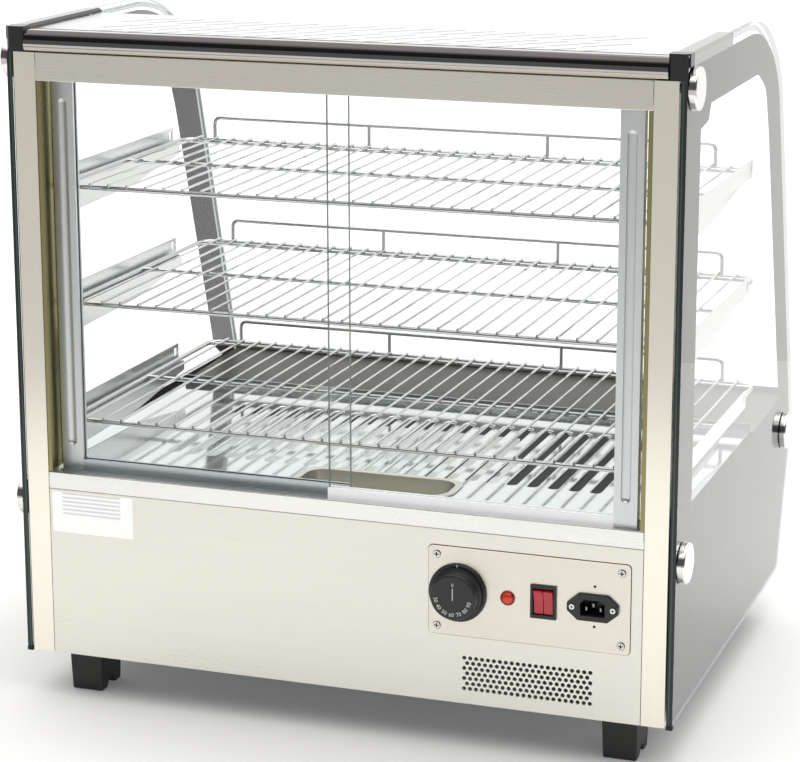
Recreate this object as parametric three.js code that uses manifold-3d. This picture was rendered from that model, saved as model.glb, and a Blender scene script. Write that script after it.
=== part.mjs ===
// Countertop hot food display case: a steel base housing with the heating parts, two flat side
// glasses, one curved customer glass, a vented roof plate, three lift-out wire shelves on hook-in
// brackets and two sliding glass doors on the service side.
//
// Units are millimetres, +Z is up. The service side (doors, controls) faces -Y, the curved glass
// faces +Y, +X is on the right hand of a person at the controls. The origin is on the surface the
// case stands on, under the middle of its outer box.
import * as THREE from 'three';
import { mergeVertices } from 'three/addons/utils/BufferGeometryUtils.js';
import Module from 'manifold-3d';

const wasm = await Module();
wasm.setup();

// ---- driving dimensions --------------------------------------------------------------------
// Inside the cabinet group, y = 0 is the outer face of the service side and z = 0 the underside
// of the base housing.
const GAP = 0.3; // clearance left between neighbouring pieces
const SHEET = 1.5; // thickness of the sheet metal
const GLASS = 6; // thickness of the cabinet glass
const DOOR_GLASS = 4;

const GLASS_OUTER_X = 339; // outer face of a side glass
const GLASS_INNER_X = GLASS_OUTER_X - GLASS;
const POST_OUTER_X = 331.5;
const POST_WIDTH = 23;
const POST_INNER_X = POST_OUTER_X - POST_WIDTH;
const POST_DEPTH = 34;
const INSIDE_X = 331; // half width of the housing and the roof plate

const FOOT_HEIGHT = 46;
const BASE_TOP = 174.5; // top of the rear panel
const SILL_TOP = 192; // lower edge of the door opening
const HEADER_BOTTOM = 587; // upper edge of the door opening
const FRAME_TOP = 614.5; // top of the posts
const ROOF_TOP = 634.5;
const CABINET_TOP = 637.5; // top edge of the side glasses
const ROOF_DEPTH = 175; // the roof plate ends here and the curved glass begins

const NOSE = { y: 561, z: 170 }; // foremost point of a side glass
const SLOPE_TOP = { y: 443, z: 542 }; // where the straight upper slope turns into the round top
const TOP_START = 276; // where the round top meets the level top edge
const TOE = { y: 505, z: 16 }; // foot of the leaning lower front

const DECK_TOP = 192;
const DECK_FRONT = 380;

const KNOB_PROUD = 19; // the thermostat knob is the piece that stands out furthest
const CONTROL_X = [96.4, 296.7];
const CONTROL_Z = [69.2, 158.2];
const CONTROL_AXIS_Z = 113; // the height that the controls share
const PANEL_CUTOUT_X = [101.4, 282.7]; // hole in the rear panel behind the control plate
const PANEL_CUTOUT_Z = [81, 146];
const THERMOSTAT_X = 126.3;
const LAMP_X = 176.3;
const SWITCH_X = 211.9;
const INLET_X = 260.7;

const SHELVES = [
  { name: 'top', level: 476, back: 54, front: 378 },
  { name: 'middle', level: 351.8, back: 74, front: 423.7 },
  { name: 'bottom', level: 230, back: 69, front: 442.4 },
];
const SHELF_HALF_WIDTH = 321;
const WIRE_PITCH = 20;

// ---- finishes ------------------------------------------------------------------------------
const FINISH = {
  steel: { color: 0xdedbd0, roughness: 0.32, metalness: 1 },
  polished: { color: 0xd8d8d6, roughness: 0.08, metalness: 1 },
  header: { color: 0xbdb6a8, roughness: 0.4, metalness: 1 },
  brass: { color: 0x8a7d55, roughness: 0.35, metalness: 1 },
  chrome: { color: 0xc8ccce, roughness: 0.12, metalness: 1 },
  aluminium: { color: 0xc3cbcf, roughness: 0.45, metalness: 1 },
  darkSheet: { color: 0x4a4844, roughness: 0.55, metalness: 0.4 },
  glass: { color: 0xe6f2ee, roughness: 0.02, metalness: 0, transparent: true, opacity: 0.25 },
  blackGlass: { color: 0x33343a, roughness: 0.05, metalness: 0 },
  blackPlastic: { color: 0x222222, roughness: 0.4, metalness: 0 },
  rubber: { color: 0x1a1a1a, roughness: 0.8, metalness: 0 },
  redPlastic: { color: 0xc41e32, roughness: 0.25, metalness: 0 },
  lampRed: { color: 0xd85028, roughness: 0.15, metalness: 0 },
  element: { color: 0x5a564f, roughness: 0.6, metalness: 0.8 },
  lampTube: { color: 0xf6f4ea, roughness: 0.3, metalness: 0 },
};

// ---- solids --------------------------------------------------------------------------------
function toSolid(geometry) {
  const bare = geometry.clone();
  bare.deleteAttribute('normal');
  bare.deleteAttribute('uv');
  const merged = mergeVertices(bare, 1e-4);
  const vertProperties = new Float32Array(merged.attributes.position.array);
  const triVerts = new Uint32Array(merged.index.array);
  return new wasm.Manifold(new wasm.Mesh({ numProp: 3, vertProperties, triVerts }));
}

function toGeometry(solid) {
  const mesh = solid.getMesh();
  const geometry = new THREE.BufferGeometry();
  geometry.setAttribute('position', new THREE.BufferAttribute(mesh.vertProperties, 3));
  geometry.setIndex(new THREE.BufferAttribute(mesh.triVerts, 1));
  geometry.computeVertexNormals();
  return geometry;
}

function join(first, ...others) {
  return toGeometry(others.reduce((solid, other) => solid.add(toSolid(other)), toSolid(first)));
}

function cut(body, ...tools) {
  return toGeometry(tools.reduce((solid, tool) => solid.subtract(toSolid(tool)), toSolid(body)));
}

function block(x, y, z) {
  const geometry = new THREE.BoxGeometry(x[1] - x[0], y[1] - y[0], z[1] - z[0]);
  return geometry.translate((x[0] + x[1]) / 2, (y[0] + y[1]) / 2, (z[0] + z[1]) / 2);
}

function shapeOf(points) {
  return new THREE.Shape(points.map(([a, b]) => new THREE.Vector2(a, b)));
}

function extrude(shape, depth, curveSegments = 4) {
  return new THREE.ExtrudeGeometry(shape, { depth, bevelEnabled: false, curveSegments });
}

// A (y, z) outline swept along X from x[0] to x[1].
function alongX(shape, x) {
  const axes = new THREE.Matrix4().makeBasis(
    new THREE.Vector3(0, 1, 0),
    new THREE.Vector3(0, 0, 1),
    new THREE.Vector3(1, 0, 0),
  );
  return extrude(shape, x[1] - x[0]).applyMatrix4(axes).translate(x[0], 0, 0);
}

// An (x, z) outline swept along Y from y[0] to y[1].
function alongY(shape, y) {
  return extrude(shape, y[1] - y[0]).rotateX(Math.PI / 2).translate(0, y[1], 0);
}

// An (x, y) outline swept along Z from z[0] to z[1].
function alongZ(shape, z, curveSegments) {
  return extrude(shape, z[1] - z[0], curveSegments).translate(0, 0, z[0]);
}

function roundedRect(a, b, radius, ShapeType = THREE.Shape) {
  const shape = new ShapeType();
  const quarter = Math.PI / 2;
  shape.absarc(a[1] - radius, b[0] + radius, radius, -quarter, 0);
  shape.absarc(a[1] - radius, b[1] - radius, radius, 0, quarter);
  shape.absarc(a[0] + radius, b[1] - radius, radius, quarter, 2 * quarter);
  shape.absarc(a[0] + radius, b[0] + radius, radius, 2 * quarter, 3 * quarter);
  shape.closePath();
  return shape;
}

function rectHole(a, b) {
  return new THREE.Path([
    new THREE.Vector2(a[0], b[0]),
    new THREE.Vector2(a[0], b[1]),
    new THREE.Vector2(a[1], b[1]),
    new THREE.Vector2(a[1], b[0]),
  ]);
}

// A round hole or disc outline with a small number of sides.
function polygonPoints(a, b, radius, sides, turn = 0) {
  return Array.from({ length: sides }, (_, i) => {
    const angle = turn + (i * 2 * Math.PI) / sides;
    return [a + radius * Math.cos(angle), b + radius * Math.sin(angle)];
  });
}

// A cylinder on an axis parallel to Y.
function discY(x, y, z, radius, sides = 32) {
  return alongY(shapeOf(polygonPoints(x, z, radius, sides)), y);
}

function piece(name, geometry, finish) {
  const mesh = new THREE.Mesh(geometry, new THREE.MeshStandardMaterial(FINISH[finish]));
  mesh.name = name;
  return mesh;
}

// ---- side outline --------------------------------------------------------------------------
// The front edge of a side glass from its toe over the nose and the round top to the level top
// edge, as (y, z) points, drawn `inset` inside the real edge.
function frontLine(inset) {
  const curve = new THREE.CurvePath();
  const toe = new THREE.Vector2(TOE.y, TOE.z);
  const noseLow = new THREE.Vector2(NOSE.y - 5, NOSE.z - 12);
  const noseHigh = new THREE.Vector2(NOSE.y - 7, NOSE.z + 8);
  const slopeTop = new THREE.Vector2(SLOPE_TOP.y, SLOPE_TOP.z);
  const topStart = new THREE.Vector2(TOP_START, CABINET_TOP);
  const noseTip = new THREE.Vector2(NOSE.y + 6, NOSE.z + 1);
  const upSlope = slopeTop.clone().sub(noseHigh).normalize().multiplyScalar(48).add(slopeTop);
  const overTop = new THREE.Vector2(TOP_START + 90, CABINET_TOP);
  curve.add(new THREE.LineCurve(toe, noseLow));
  curve.add(new THREE.QuadraticBezierCurve(noseLow, noseTip, noseHigh));
  curve.add(new THREE.LineCurve(noseHigh, slopeTop));
  curve.add(new THREE.CubicBezierCurve(slopeTop, upSlope, overTop, topStart));
  const points = [];
  for (const [index, steps] of [[0, 1], [1, 3], [2, 1], [3, 8]]) {
    const part = curve.curves[index];
    for (let step = index === 0 ? 0 : 1; step <= steps; step += 1) {
      const along = step / steps;
      const tangent = part.getTangent(along);
      const point = part.getPoint(along);
      points.push([point.x - tangent.y * inset, point.y + tangent.x * inset]);
    }
  }
  return points;
}

// ---- base housing --------------------------------------------------------------------------
function basePan() {
  const lean = 0.359; // how far the lower front leans out for each unit of height
  const frontFoot = 483;
  const rear = SHEET + GAP; // just behind the rear panel
  const rim = 172;
  const rimReturn = 12;
  const rearMouthHalf = 300;
  const wall = (offset, low, high) => shapeOf([
    [rear + offset, low],
    [frontFoot + lean * low - offset, low],
    [frontFoot + lean * high - offset, high],
    [rear + offset, high],
  ]);
  const outer = alongX(wall(0, 0, rim), [-INSIDE_X, INSIDE_X]);
  const hollow = alongX(wall(SHEET, SHEET, rim - SHEET), [-INSIDE_X + SHEET, INSIDE_X - SHEET]);
  const mouth = alongX(
    wall(rimReturn, rim - 2 * SHEET, rim + SHEET),
    [-INSIDE_X + rimReturn, INSIDE_X - rimReturn],
  );
  const rearMouth = block([-rearMouthHalf, rearMouthHalf], [-1, 20], [SHEET, rim + 1]);
  const corners = [-1, 1].map((side) => block(
    [POST_INNER_X - GAP, INSIDE_X + 1].map((x) => x * side).sort((a, b) => a - b),
    [-1, POST_DEPTH + GAP],
    [-1, rim + 1],
  ));
  return piece('base_pan', cut(outer, hollow, mouth, rearMouth, ...corners), 'steel');
}

function ventHoles() {
  const columns = 22;
  const rows = 7;
  const pitchX = 6;
  const pitchZ = 5.2;
  const firstX = 132.5;
  const firstZ = 15.6;
  const radius = 1.9;
  const holes = [];
  for (let row = 0; row < rows; row += 1) {
    const staggered = row % 2 === 1;
    for (let column = 0; column < columns - (staggered ? 1 : 0); column += 1) {
      const x = firstX + (column + (staggered ? 0.5 : 0)) * pitchX;
      const points = polygonPoints(x, firstZ + row * pitchZ, radius, 4);
      holes.push(new THREE.Path(points.map(([a, b]) => new THREE.Vector2(a, b))));
    }
  }
  return holes;
}

function rearPanel() {
  const edge = POST_INNER_X - GAP;
  const top = BASE_TOP - GAP;
  const shape = shapeOf([[-edge, 0], [edge, 0], [edge, top], [-edge, top]]);
  shape.holes.push(rectHole(PANEL_CUTOUT_X, PANEL_CUTOUT_Z));
  shape.holes.push(...ventHoles());
  return piece('rear_panel', alongY(shape, [0, SHEET]), 'steel');
}

const GLASS_SETBACK = 3; // the front pieces lie this far inside the edge of the side glasses
const BETWEEN_GLASSES = [-GLASS_INNER_X + GAP, GLASS_INNER_X - GAP];

function frontPanel() {
  const thickness = 5;
  const [toe, nose] = frontLine(GLASS_SETBACK);
  const [toeIn, noseIn] = frontLine(GLASS_SETBACK + thickness);
  const shape = shapeOf([toe, nose, noseIn, toeIn]);
  return piece('front_panel', alongX(shape, BETWEEN_GLASSES), 'blackGlass');
}

function noseSeal() {
  const outer = frontLine(GLASS_SETBACK);
  const inner = frontLine(GLASS_SETBACK + GLASS);
  const low = inner[1][1] + GAP;
  const high = outer[4][1] + 1;
  const shape = shapeOf([
    [outer[1][0] + 0.8, low],
    [outer[2][0], outer[2][1]],
    [outer[4][0], high],
    [inner[4][0], high],
    [inner[1][0], low],
  ]);
  return piece('nose_seal', alongX(shape, BETWEEN_GLASSES), 'rubber');
}

// Four rubber feet, each a tapered block on two pads with an arched notch between them.
function foot(name, x, y) {
  const topHalf = 18;
  const bottomHalf = 16.5;
  const topDepth = 24;
  const bottomDepth = 22;
  const notch = { low: 9, high: 5, height: 8 }; // its half widths and its height
  const shape = shapeOf([
    [-bottomDepth, 0],
    [-notch.low, 0],
    [-notch.high, notch.height],
    [notch.high, notch.height],
    [notch.low, 0],
    [bottomDepth, 0],
    [topDepth, FOOT_HEIGHT - GAP],
    [-topDepth, FOOT_HEIGHT - GAP],
  ]);
  const profile = alongX(shape, [-topHalf, topHalf]);
  const taper = alongY(shapeOf([
    [-bottomHalf, -1],
    [bottomHalf, -1],
    [topHalf, FOOT_HEIGHT],
    [-topHalf, FOOT_HEIGHT],
  ]), [-topDepth - 1, topDepth + 1]);
  const geometry = toGeometry(toSolid(profile).intersect(toSolid(taper)));
  const mesh = piece(name, geometry, 'rubber');
  mesh.position.set(x, y, -FOOT_HEIGHT);
  return mesh;
}

function feet() {
  const x = 283;
  const rearY = 43.5;
  const frontY = 455;
  return [
    foot('foot_rear_left', -x, rearY),
    foot('foot_rear_right', x, rearY),
    foot('foot_front_left', -x, frontY),
    foot('foot_front_right', x, frontY),
  ];
}

// ---- upright frame -------------------------------------------------------------------------
const HOOK_X = 324; // middle plane of a bracket's hooks and of the slots they sit in
const HOOK_DROPS = [-8, -24]; // hook heights, counted from the shelf level
const HOOK_HEIGHT = 8;
const HOOK_HALF = 0.8; // half the thickness of a hook

function post(name, side) {
  const x = (a, b) => [a * side, b * side].sort((p, q) => p - q);
  const outer = block(x(POST_INNER_X, POST_OUTER_X), [0, POST_DEPTH], [0, FRAME_TOP]);
  const bore = block(
    x(POST_INNER_X + SHEET, POST_OUTER_X - SHEET),
    [SHEET, POST_DEPTH - SHEET],
    [-1, FRAME_TOP + 1],
  );
  const play = HOOK_HALF + 0.7;
  const liftRoom = 3; // lets a hook be lifted out of its slot
  const slots = SHELVES.flatMap(({ level }) => HOOK_DROPS.map((drop) => block(
    x(HOOK_X - play, HOOK_X + play),
    [POST_DEPTH - 2 * SHEET, POST_DEPTH + 1],
    [level + drop - 1, level + drop + HOOK_HEIGHT + liftRoom],
  )));
  return piece(name, cut(outer, bore, ...slots), 'steel');
}

const BETWEEN_POSTS = [-POST_INNER_X + GAP, POST_INNER_X - GAP];

function sillRail() {
  const step = 186; // the lower track lies on this step, behind the lip
  const lip = 4;
  const shape = shapeOf([
    [0, BASE_TOP],
    [POST_DEPTH, BASE_TOP],
    [POST_DEPTH, step],
    [lip, step],
    [lip, SILL_TOP],
    [0, SILL_TOP],
  ]);
  return piece('sill_rail', alongX(shape, BETWEEN_POSTS), 'steel');
}

function headerRail() {
  const shape = shapeOf([
    [0, HEADER_BOTTOM],
    [SHEET, HEADER_BOTTOM],
    [SHEET, FRAME_TOP - SHEET],
    [POST_DEPTH, FRAME_TOP - SHEET],
    [POST_DEPTH, HEADER_BOTTOM],
    [POST_DEPTH + SHEET, HEADER_BOTTOM],
    [POST_DEPTH + SHEET, FRAME_TOP],
    [0, FRAME_TOP],
  ]);
  return piece('header_rail', alongX(shape, BETWEEN_POSTS), 'header');
}

// Both door tracks are E-shaped extrusions with one groove for each door.
const TRACK_RIBS = [[4.3, 6], [17.9, 19.1], [31.1, 32.9]];
const JAMB_X = 303.6; // inner face of a jamb channel
const TRACK_FLOOR = 187.6;
const LOWER_TRACK = { back: 186.3, floor: TRACK_FLOOR, tip: 190.5 }; // heights of the section
const UPPER_TRACK = { back: 609.5, floor: 608, tip: 589 };

function trackOutline({ back, floor, tip }) {
  const points = [[TRACK_RIBS[0][0], back]];
  for (const [near, far] of TRACK_RIBS) {
    points.push([near, near === TRACK_RIBS[0][0] ? tip : floor]);
    if (near !== TRACK_RIBS[0][0]) {
      points.push([near, tip]);
    }
    points.push([far, tip]);
    points.push([far, far === TRACK_RIBS[2][1] ? back : floor]);
  }
  return shapeOf(points);
}

function lowerTrack() {
  const outline = trackOutline(LOWER_TRACK);
  return piece('lower_track', alongX(outline, [-JAMB_X, JAMB_X]), 'aluminium');
}

function upperTrack() {
  const outline = trackOutline(UPPER_TRACK);
  return piece('upper_track', alongX(outline, [-JAMB_X, JAMB_X]), 'aluminium');
}

// Vertical U channels on the posts, which the doors close into.
function jamb(name, side) {
  const web = POST_INNER_X - GAP;
  const lips = JAMB_X + GAP;
  const near = 0.5;
  const far = POST_DEPTH - near;
  const shape = shapeOf([
    [web, near],
    [web, far],
    [lips, far],
    [lips, far - SHEET],
    [web - SHEET, far - SHEET],
    [web - SHEET, near + SHEET],
    [lips, near + SHEET],
    [lips, near],
  ].map(([x, y]) => [x * side, y]));
  return piece(name, alongZ(shape, [SILL_TOP + GAP, HEADER_BOTTOM - GAP]), 'brass');
}

// ---- roof ----------------------------------------------------------------------------------
const TRIM_END_X = 321; // the rear bar ends here, at the corner caps
const CORNER_DEPTH = 17.7;
const TRIM_LOW = CABINET_TOP - 11; // lower edge of the trim on the outside of a side glass
const TRIM_HIGH = CABINET_TOP + 1.6;

// The slits run slantwise in three rows, of which the last two are longer.
function roofPlate() {
  const back = CORNER_DEPTH + GAP;
  const edge = INSIDE_X - 10;
  const flangeHalf = 305;
  const shape = shapeOf([[-edge, back], [edge, back], [edge, ROOF_DEPTH], [-edge, ROOF_DEPTH]]);
  const pitch = 30.5;
  const count = 17;
  const halfWidth = 1.6;
  const rows = [[27, 45], [56, 93], [106, 147]]; // y where each row starts and ends
  for (const [low, high] of rows) {
    for (let i = 0; i < count; i += 1) {
      const x = (i - (count - 1) / 2) * pitch - (high - low) / 2;
      const run = high - low;
      shape.holes.push(new THREE.Path([
        new THREE.Vector2(x - halfWidth, low + halfWidth),
        new THREE.Vector2(x + run - halfWidth, high + halfWidth),
        new THREE.Vector2(x + run + halfWidth, high - halfWidth),
        new THREE.Vector2(x + halfWidth, low - halfWidth),
      ]));
    }
  }
  const plate = alongZ(shape, [ROOF_TOP - SHEET, ROOF_TOP]);
  const rearFlange = block([-flangeHalf, flangeHalf], [back, back + SHEET], [FRAME_TOP + 1, ROOF_TOP]);
  return piece('roof_plate', join(plate, rearFlange), 'steel');
}

// The rear bar has a rounded, polished outer face.
function rearTrimBar() {
  const bottom = FRAME_TOP + GAP;
  const height = ROOF_TOP + 1.2 - bottom;
  const bulge = 8; // how deep the rounded face is
  const points = [[CORNER_DEPTH, bottom], [CORNER_DEPTH, bottom + height]];
  const steps = 8;
  for (let i = 0; i <= steps; i += 1) {
    const angle = Math.PI / 2 + (i * Math.PI) / steps;
    const z = bottom + height / 2 + (height / 2) * Math.sin(angle);
    points.push([bulge + bulge * Math.cos(angle), z]);
  }
  const shape = shapeOf(points.reverse());
  return piece('rear_trim_bar', alongX(shape, [-TRIM_END_X + GAP, TRIM_END_X - GAP]), 'polished');
}

// A side bar grips the top edge of a side glass between the corner cap and the curved glass.
function sideTrimBar(name, side) {
  const glass = [GLASS_INNER_X - GAP, GLASS_OUTER_X + GAP];
  const leaf = glass[1] + 1.4;
  const inner = INSIDE_X - 9.5;
  const bevel = 3.5;
  const shape = shapeOf([
    [inner, ROOF_TOP + GAP],
    [glass[0], ROOF_TOP + GAP],
    [glass[0], CABINET_TOP + GAP],
    [glass[1], CABINET_TOP + GAP],
    [glass[1], TRIM_LOW],
    [leaf, TRIM_LOW],
    [leaf, CABINET_TOP - 1],
    [glass[1] - 1, TRIM_HIGH],
    [inner + bevel, TRIM_HIGH],
    [inner, CABINET_TOP - 1],
  ].map(([x, z]) => [x * side, z]));
  return piece(name, alongY(shape, [CORNER_DEPTH + GAP, ROOF_DEPTH + 4]), 'polished');
}

function cornerCap(name, side) {
  const low = FRAME_TOP + GAP;
  const outside = GLASS_OUTER_X + 1.7;
  const x = (a, b) => [a * side, b * side].sort((p, q) => p - q);
  const outline = shapeOf([
    [TRIM_END_X, CORNER_DEPTH],
    [TRIM_END_X, 2],
    [TRIM_END_X + 2, 0],
    [outside - 4.7, 0],
    [outside, 4],
    [outside, CORNER_DEPTH],
  ].map(([a, b]) => [a * side, b]));
  const body = alongZ(outline, [low, TRIM_HIGH]);
  const glassSlot = block(
    x(GLASS_INNER_X - GAP, GLASS_OUTER_X + GAP),
    [2.5, CORNER_DEPTH + 1],
    [low - 1, CABINET_TOP + GAP],
  );
  const belowLeaf = block(
    x(GLASS_OUTER_X + GAP, GLASS_OUTER_X + 3),
    [-1, CORNER_DEPTH + 1],
    [low - 1, TRIM_LOW],
  );
  return piece(name, cut(body, glassSlot, belowLeaf), 'blackPlastic');
}

// ---- cabinet glass -------------------------------------------------------------------------
const CAP_PLACES = [
  { name: 'rear_top', y: 21, z: 606 },
  { name: 'rear_low', y: 21, z: 159 },
  { name: 'front', y: 498, z: 164 },
];
const CAP_BOLT_RADIUS = 4;

function sideGlass(name, side) {
  const rear = 0.6;
  const rearAtCap = 3; // set back where the corner cap wraps it
  const low = 3;
  const shape = shapeOf([
    [rearAtCap, CABINET_TOP],
    [rearAtCap, FRAME_TOP],
    [rear, FRAME_TOP],
    [rear, low],
    [TOE.y - 15, low],
    [TOE.y - 5, 2 * low],
    ...frontLine(0),
  ]);
  for (const { y, z } of CAP_PLACES) {
    const hole = polygonPoints(y, z, CAP_BOLT_RADIUS + 2 * GAP, 8);
    shape.holes.push(new THREE.Path(hole.map(([a, b]) => new THREE.Vector2(a, b))));
  }
  const x = [GLASS_INNER_X * side, GLASS_OUTER_X * side].sort((a, b) => a - b);
  return piece(name, alongX(shape, x), 'glass');
}

// A polished cap screwed through the side glass into the frame behind it.
function glassCap(name, side, y, z) {
  const radius = 20;
  const proud = 8;
  const chamfer = 1.2;
  const inner = GLASS_OUTER_X + GAP;
  const profile = [
    [0, inner + proud],
    [radius - chamfer, inner + proud],
    [radius, inner + proud - chamfer],
    [radius, inner],
    [CAP_BOLT_RADIUS, inner],
    [CAP_BOLT_RADIUS, GLASS_INNER_X - GAP],
    [0, GLASS_INNER_X - GAP],
  ].reverse();
  const geometry = new THREE.LatheGeometry(profile.map(([r, h]) => new THREE.Vector2(r, h)), 16);
  const mesh = piece(name, geometry.rotateZ((-side * Math.PI) / 2), 'polished');
  mesh.position.set(0, y, z);
  return mesh;
}

function glassCaps() {
  return CAP_PLACES.flatMap(({ name, y, z }) => [
    glassCap(`glass_cap_${name}_left`, -1, y, z),
    glassCap(`glass_cap_${name}_right`, 1, y, z),
  ]);
}

function frontGlass() {
  const skip = 4; // the curved glass starts above the nose
  const edge = ROOF_DEPTH + 1;
  const deeper = GLASS_SETBACK + GLASS;
  const outer = [...frontLine(GLASS_SETBACK).slice(skip), [edge, CABINET_TOP - GLASS_SETBACK]];
  const inner = [...frontLine(deeper).slice(skip), [edge, CABINET_TOP - deeper]];
  const foot = outer[0][1] + 2;
  outer[0] = [outer[0][0] - 0.6, foot];
  inner[0] = [inner[0][0] - 0.6, foot];
  const shape = shapeOf([...outer, ...inner.reverse()]);
  return piece('front_glass', alongX(shape, BETWEEN_GLASSES), 'glass');
}

// ---- sliding doors -------------------------------------------------------------------------
// Each door is drawn closed, with its own left edge, stile side and depth.
const DOOR_WIDTH = 309.5;
const DOOR_BOTTOM = TRACK_FLOOR + GAP;
const DOOR_TOP = 602;
const STILE = 23;
const DOOR_RAIL_TOP = 202;
const GROOVE = { inset: 7, z: [216, 568], depth: 2.5 }; // finger groove in a stile
const PANE_SEAT = 8; // how far the stile's rebate takes the glass in
const PANE_FOOT = 6; // height of the glass above the door's lower edge
const DOORS = [
  { name: 'outer_door', left: -10.2, stileOnRight: true, depth: [7, 17] },
  { name: 'inner_door', left: -302, stileOnRight: false, depth: [20, 30] },
];

function door({ name, left, stileOnRight, depth }) {
  const right = left + DOOR_WIDTH;
  const middle = (depth[0] + depth[1]) / 2;
  const stileX = stileOnRight ? [right - STILE, right] : [left, left + STILE];
  const grooveX = [stileX[0] + GROOVE.inset, stileX[1] - GROOVE.inset];
  const seatX = stileOnRight ? right - STILE + PANE_SEAT : left + STILE - PANE_SEAT;
  const foot = DOOR_BOTTOM + PANE_FOOT;
  const stile = block(stileX, depth, [DOOR_BOTTOM, DOOR_TOP]);
  const rail = block([left, right], depth, [DOOR_BOTTOM, DOOR_RAIL_TOP]);
  const groove = alongY(
    roundedRect(grooveX, GROOVE.z, 4.4),
    [depth[0] - 1, depth[0] + GROOVE.depth],
  );
  const rebate = block(
    stileOnRight ? [left - 1, seatX] : [seatX, right + 1],
    [middle - DOOR_GLASS / 2 - GAP, middle + DOOR_GLASS / 2 + GAP],
    [foot, DOOR_TOP + 1],
  );
  const pane = block(
    stileOnRight ? [left, seatX - GAP] : [seatX + GAP, right],
    [middle - DOOR_GLASS / 2, middle + DOOR_GLASS / 2],
    [foot + GAP, DOOR_TOP],
  );
  return [
    piece(`${name}_frame`, cut(join(stile, rail), groove, rebate), 'aluminium'),
    piece(`${name}_glass`, pane, 'glass'),
  ];
}

// ---- shelves -------------------------------------------------------------------------------
const ROD = 5; // perimeter rod
const WIRE = 2.6; // cross wire
const FENCE_HEIGHT = 25;
const FENCE_HALF_WIDTH = 285;
const FENCE_ROD = 4;
const FENCE_POST_X = 101; // the two posts between the end posts

function shelf({ name, level, back, front }) {
  const rodZ = [level - ROD + GAP, level + GAP];
  const wireZ = [level - WIRE, level];
  const edge = SHELF_HALF_WIDTH;
  const middle = (back + front) / 2 + 3;
  const solids = [
    block([-edge, edge], [back, back + ROD], rodZ),
    block([-edge + 1, edge - 1], [middle, middle + ROD], [rodZ[0] + 0.1, wireZ[0] + 0.5]),
    block([-edge, edge], [front - ROD, front], rodZ),
    block([-edge, -edge + ROD], [back, front], rodZ),
    block([edge - ROD, edge], [back, front], rodZ),
  ];
  const count = 2 * Math.floor((edge - ROD) / WIRE_PITCH) + 1;
  for (let i = 0; i < count; i += 1) {
    const x = (i - (count - 1) / 2) * WIRE_PITCH;
    solids.push(block([x - WIRE / 2, x + WIRE / 2], [back + 1, front - 1], wireZ));
  }
  const fenceY = [front - ROD + 0.5, front - 0.5];
  const fenceTop = level + FENCE_HEIGHT;
  const half = FENCE_ROD / 2;
  const endX = FENCE_HALF_WIDTH - half;
  solids.push(block([-FENCE_HALF_WIDTH, FENCE_HALF_WIDTH], fenceY, [fenceTop - FENCE_ROD, fenceTop]));
  for (const x of [-endX, -FENCE_POST_X, FENCE_POST_X, endX]) {
    solids.push(block([x - half, x + half], fenceY, [level, fenceTop]));
  }
  return piece(`${name}_shelf`, join(...solids), 'chrome');
}

// A bent bracket: hooks in the post, an upstand beside the shelf, a ledge under its side rod and
// a web that gets shallower towards its front tip.
function bracket({ name, level }, side, sideName) {
  const tip = 357;
  const ledgeTip = tip - 8;
  const rear = POST_DEPTH + GAP;
  const ledgeTop = level - ROD;
  const upstandTop = level + 12.5;
  const outerX = 325;
  const webX = 314.5;
  const x = (a, b) => [a * side, b * side].sort((p, q) => p - q);
  const upstand = alongX(shapeOf([
    [rear, ledgeTop - SHEET],
    [tip, ledgeTop - SHEET],
    [tip, upstandTop],
    [rear, upstandTop],
  ]), x(outerX, outerX + SHEET));
  const ledge = block(x(webX, outerX + SHEET), [rear, ledgeTip], [ledgeTop - SHEET, ledgeTop]);
  const web = alongX(shapeOf([
    [rear, level - 34],
    [tip - 130, level - 30],
    [ledgeTip, level - 15],
    [ledgeTip, ledgeTop],
    [rear, ledgeTop],
  ]), x(webX, webX + SHEET));
  const notch = block(x(outerX - 1, outerX + 3), [tip - 11, tip - 5], [level, level + 9]);
  const rearPlate = block(x(webX, outerX + SHEET), [rear, rear + SHEET], [level - 30, upstandTop]);
  const hooks = HOOK_DROPS.map((drop) => block(
    x(HOOK_X - HOOK_HALF, HOOK_X + HOOK_HALF),
    [POST_DEPTH - 3.5, rear + 0.5],
    [level + drop, level + drop + HOOK_HEIGHT],
  ));
  const body = join(upstand, ledge, web, rearPlate, ...hooks);
  return piece(`${name}_bracket_${sideName}`, cut(body, notch), 'steel');
}

// ---- heated floor --------------------------------------------------------------------------
const TRAY_X = [-62, 98]; // the cut-out that the water tray hangs in
const TRAY_Y = [41, 98];
const TRAY_CORNER = 20;

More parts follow.
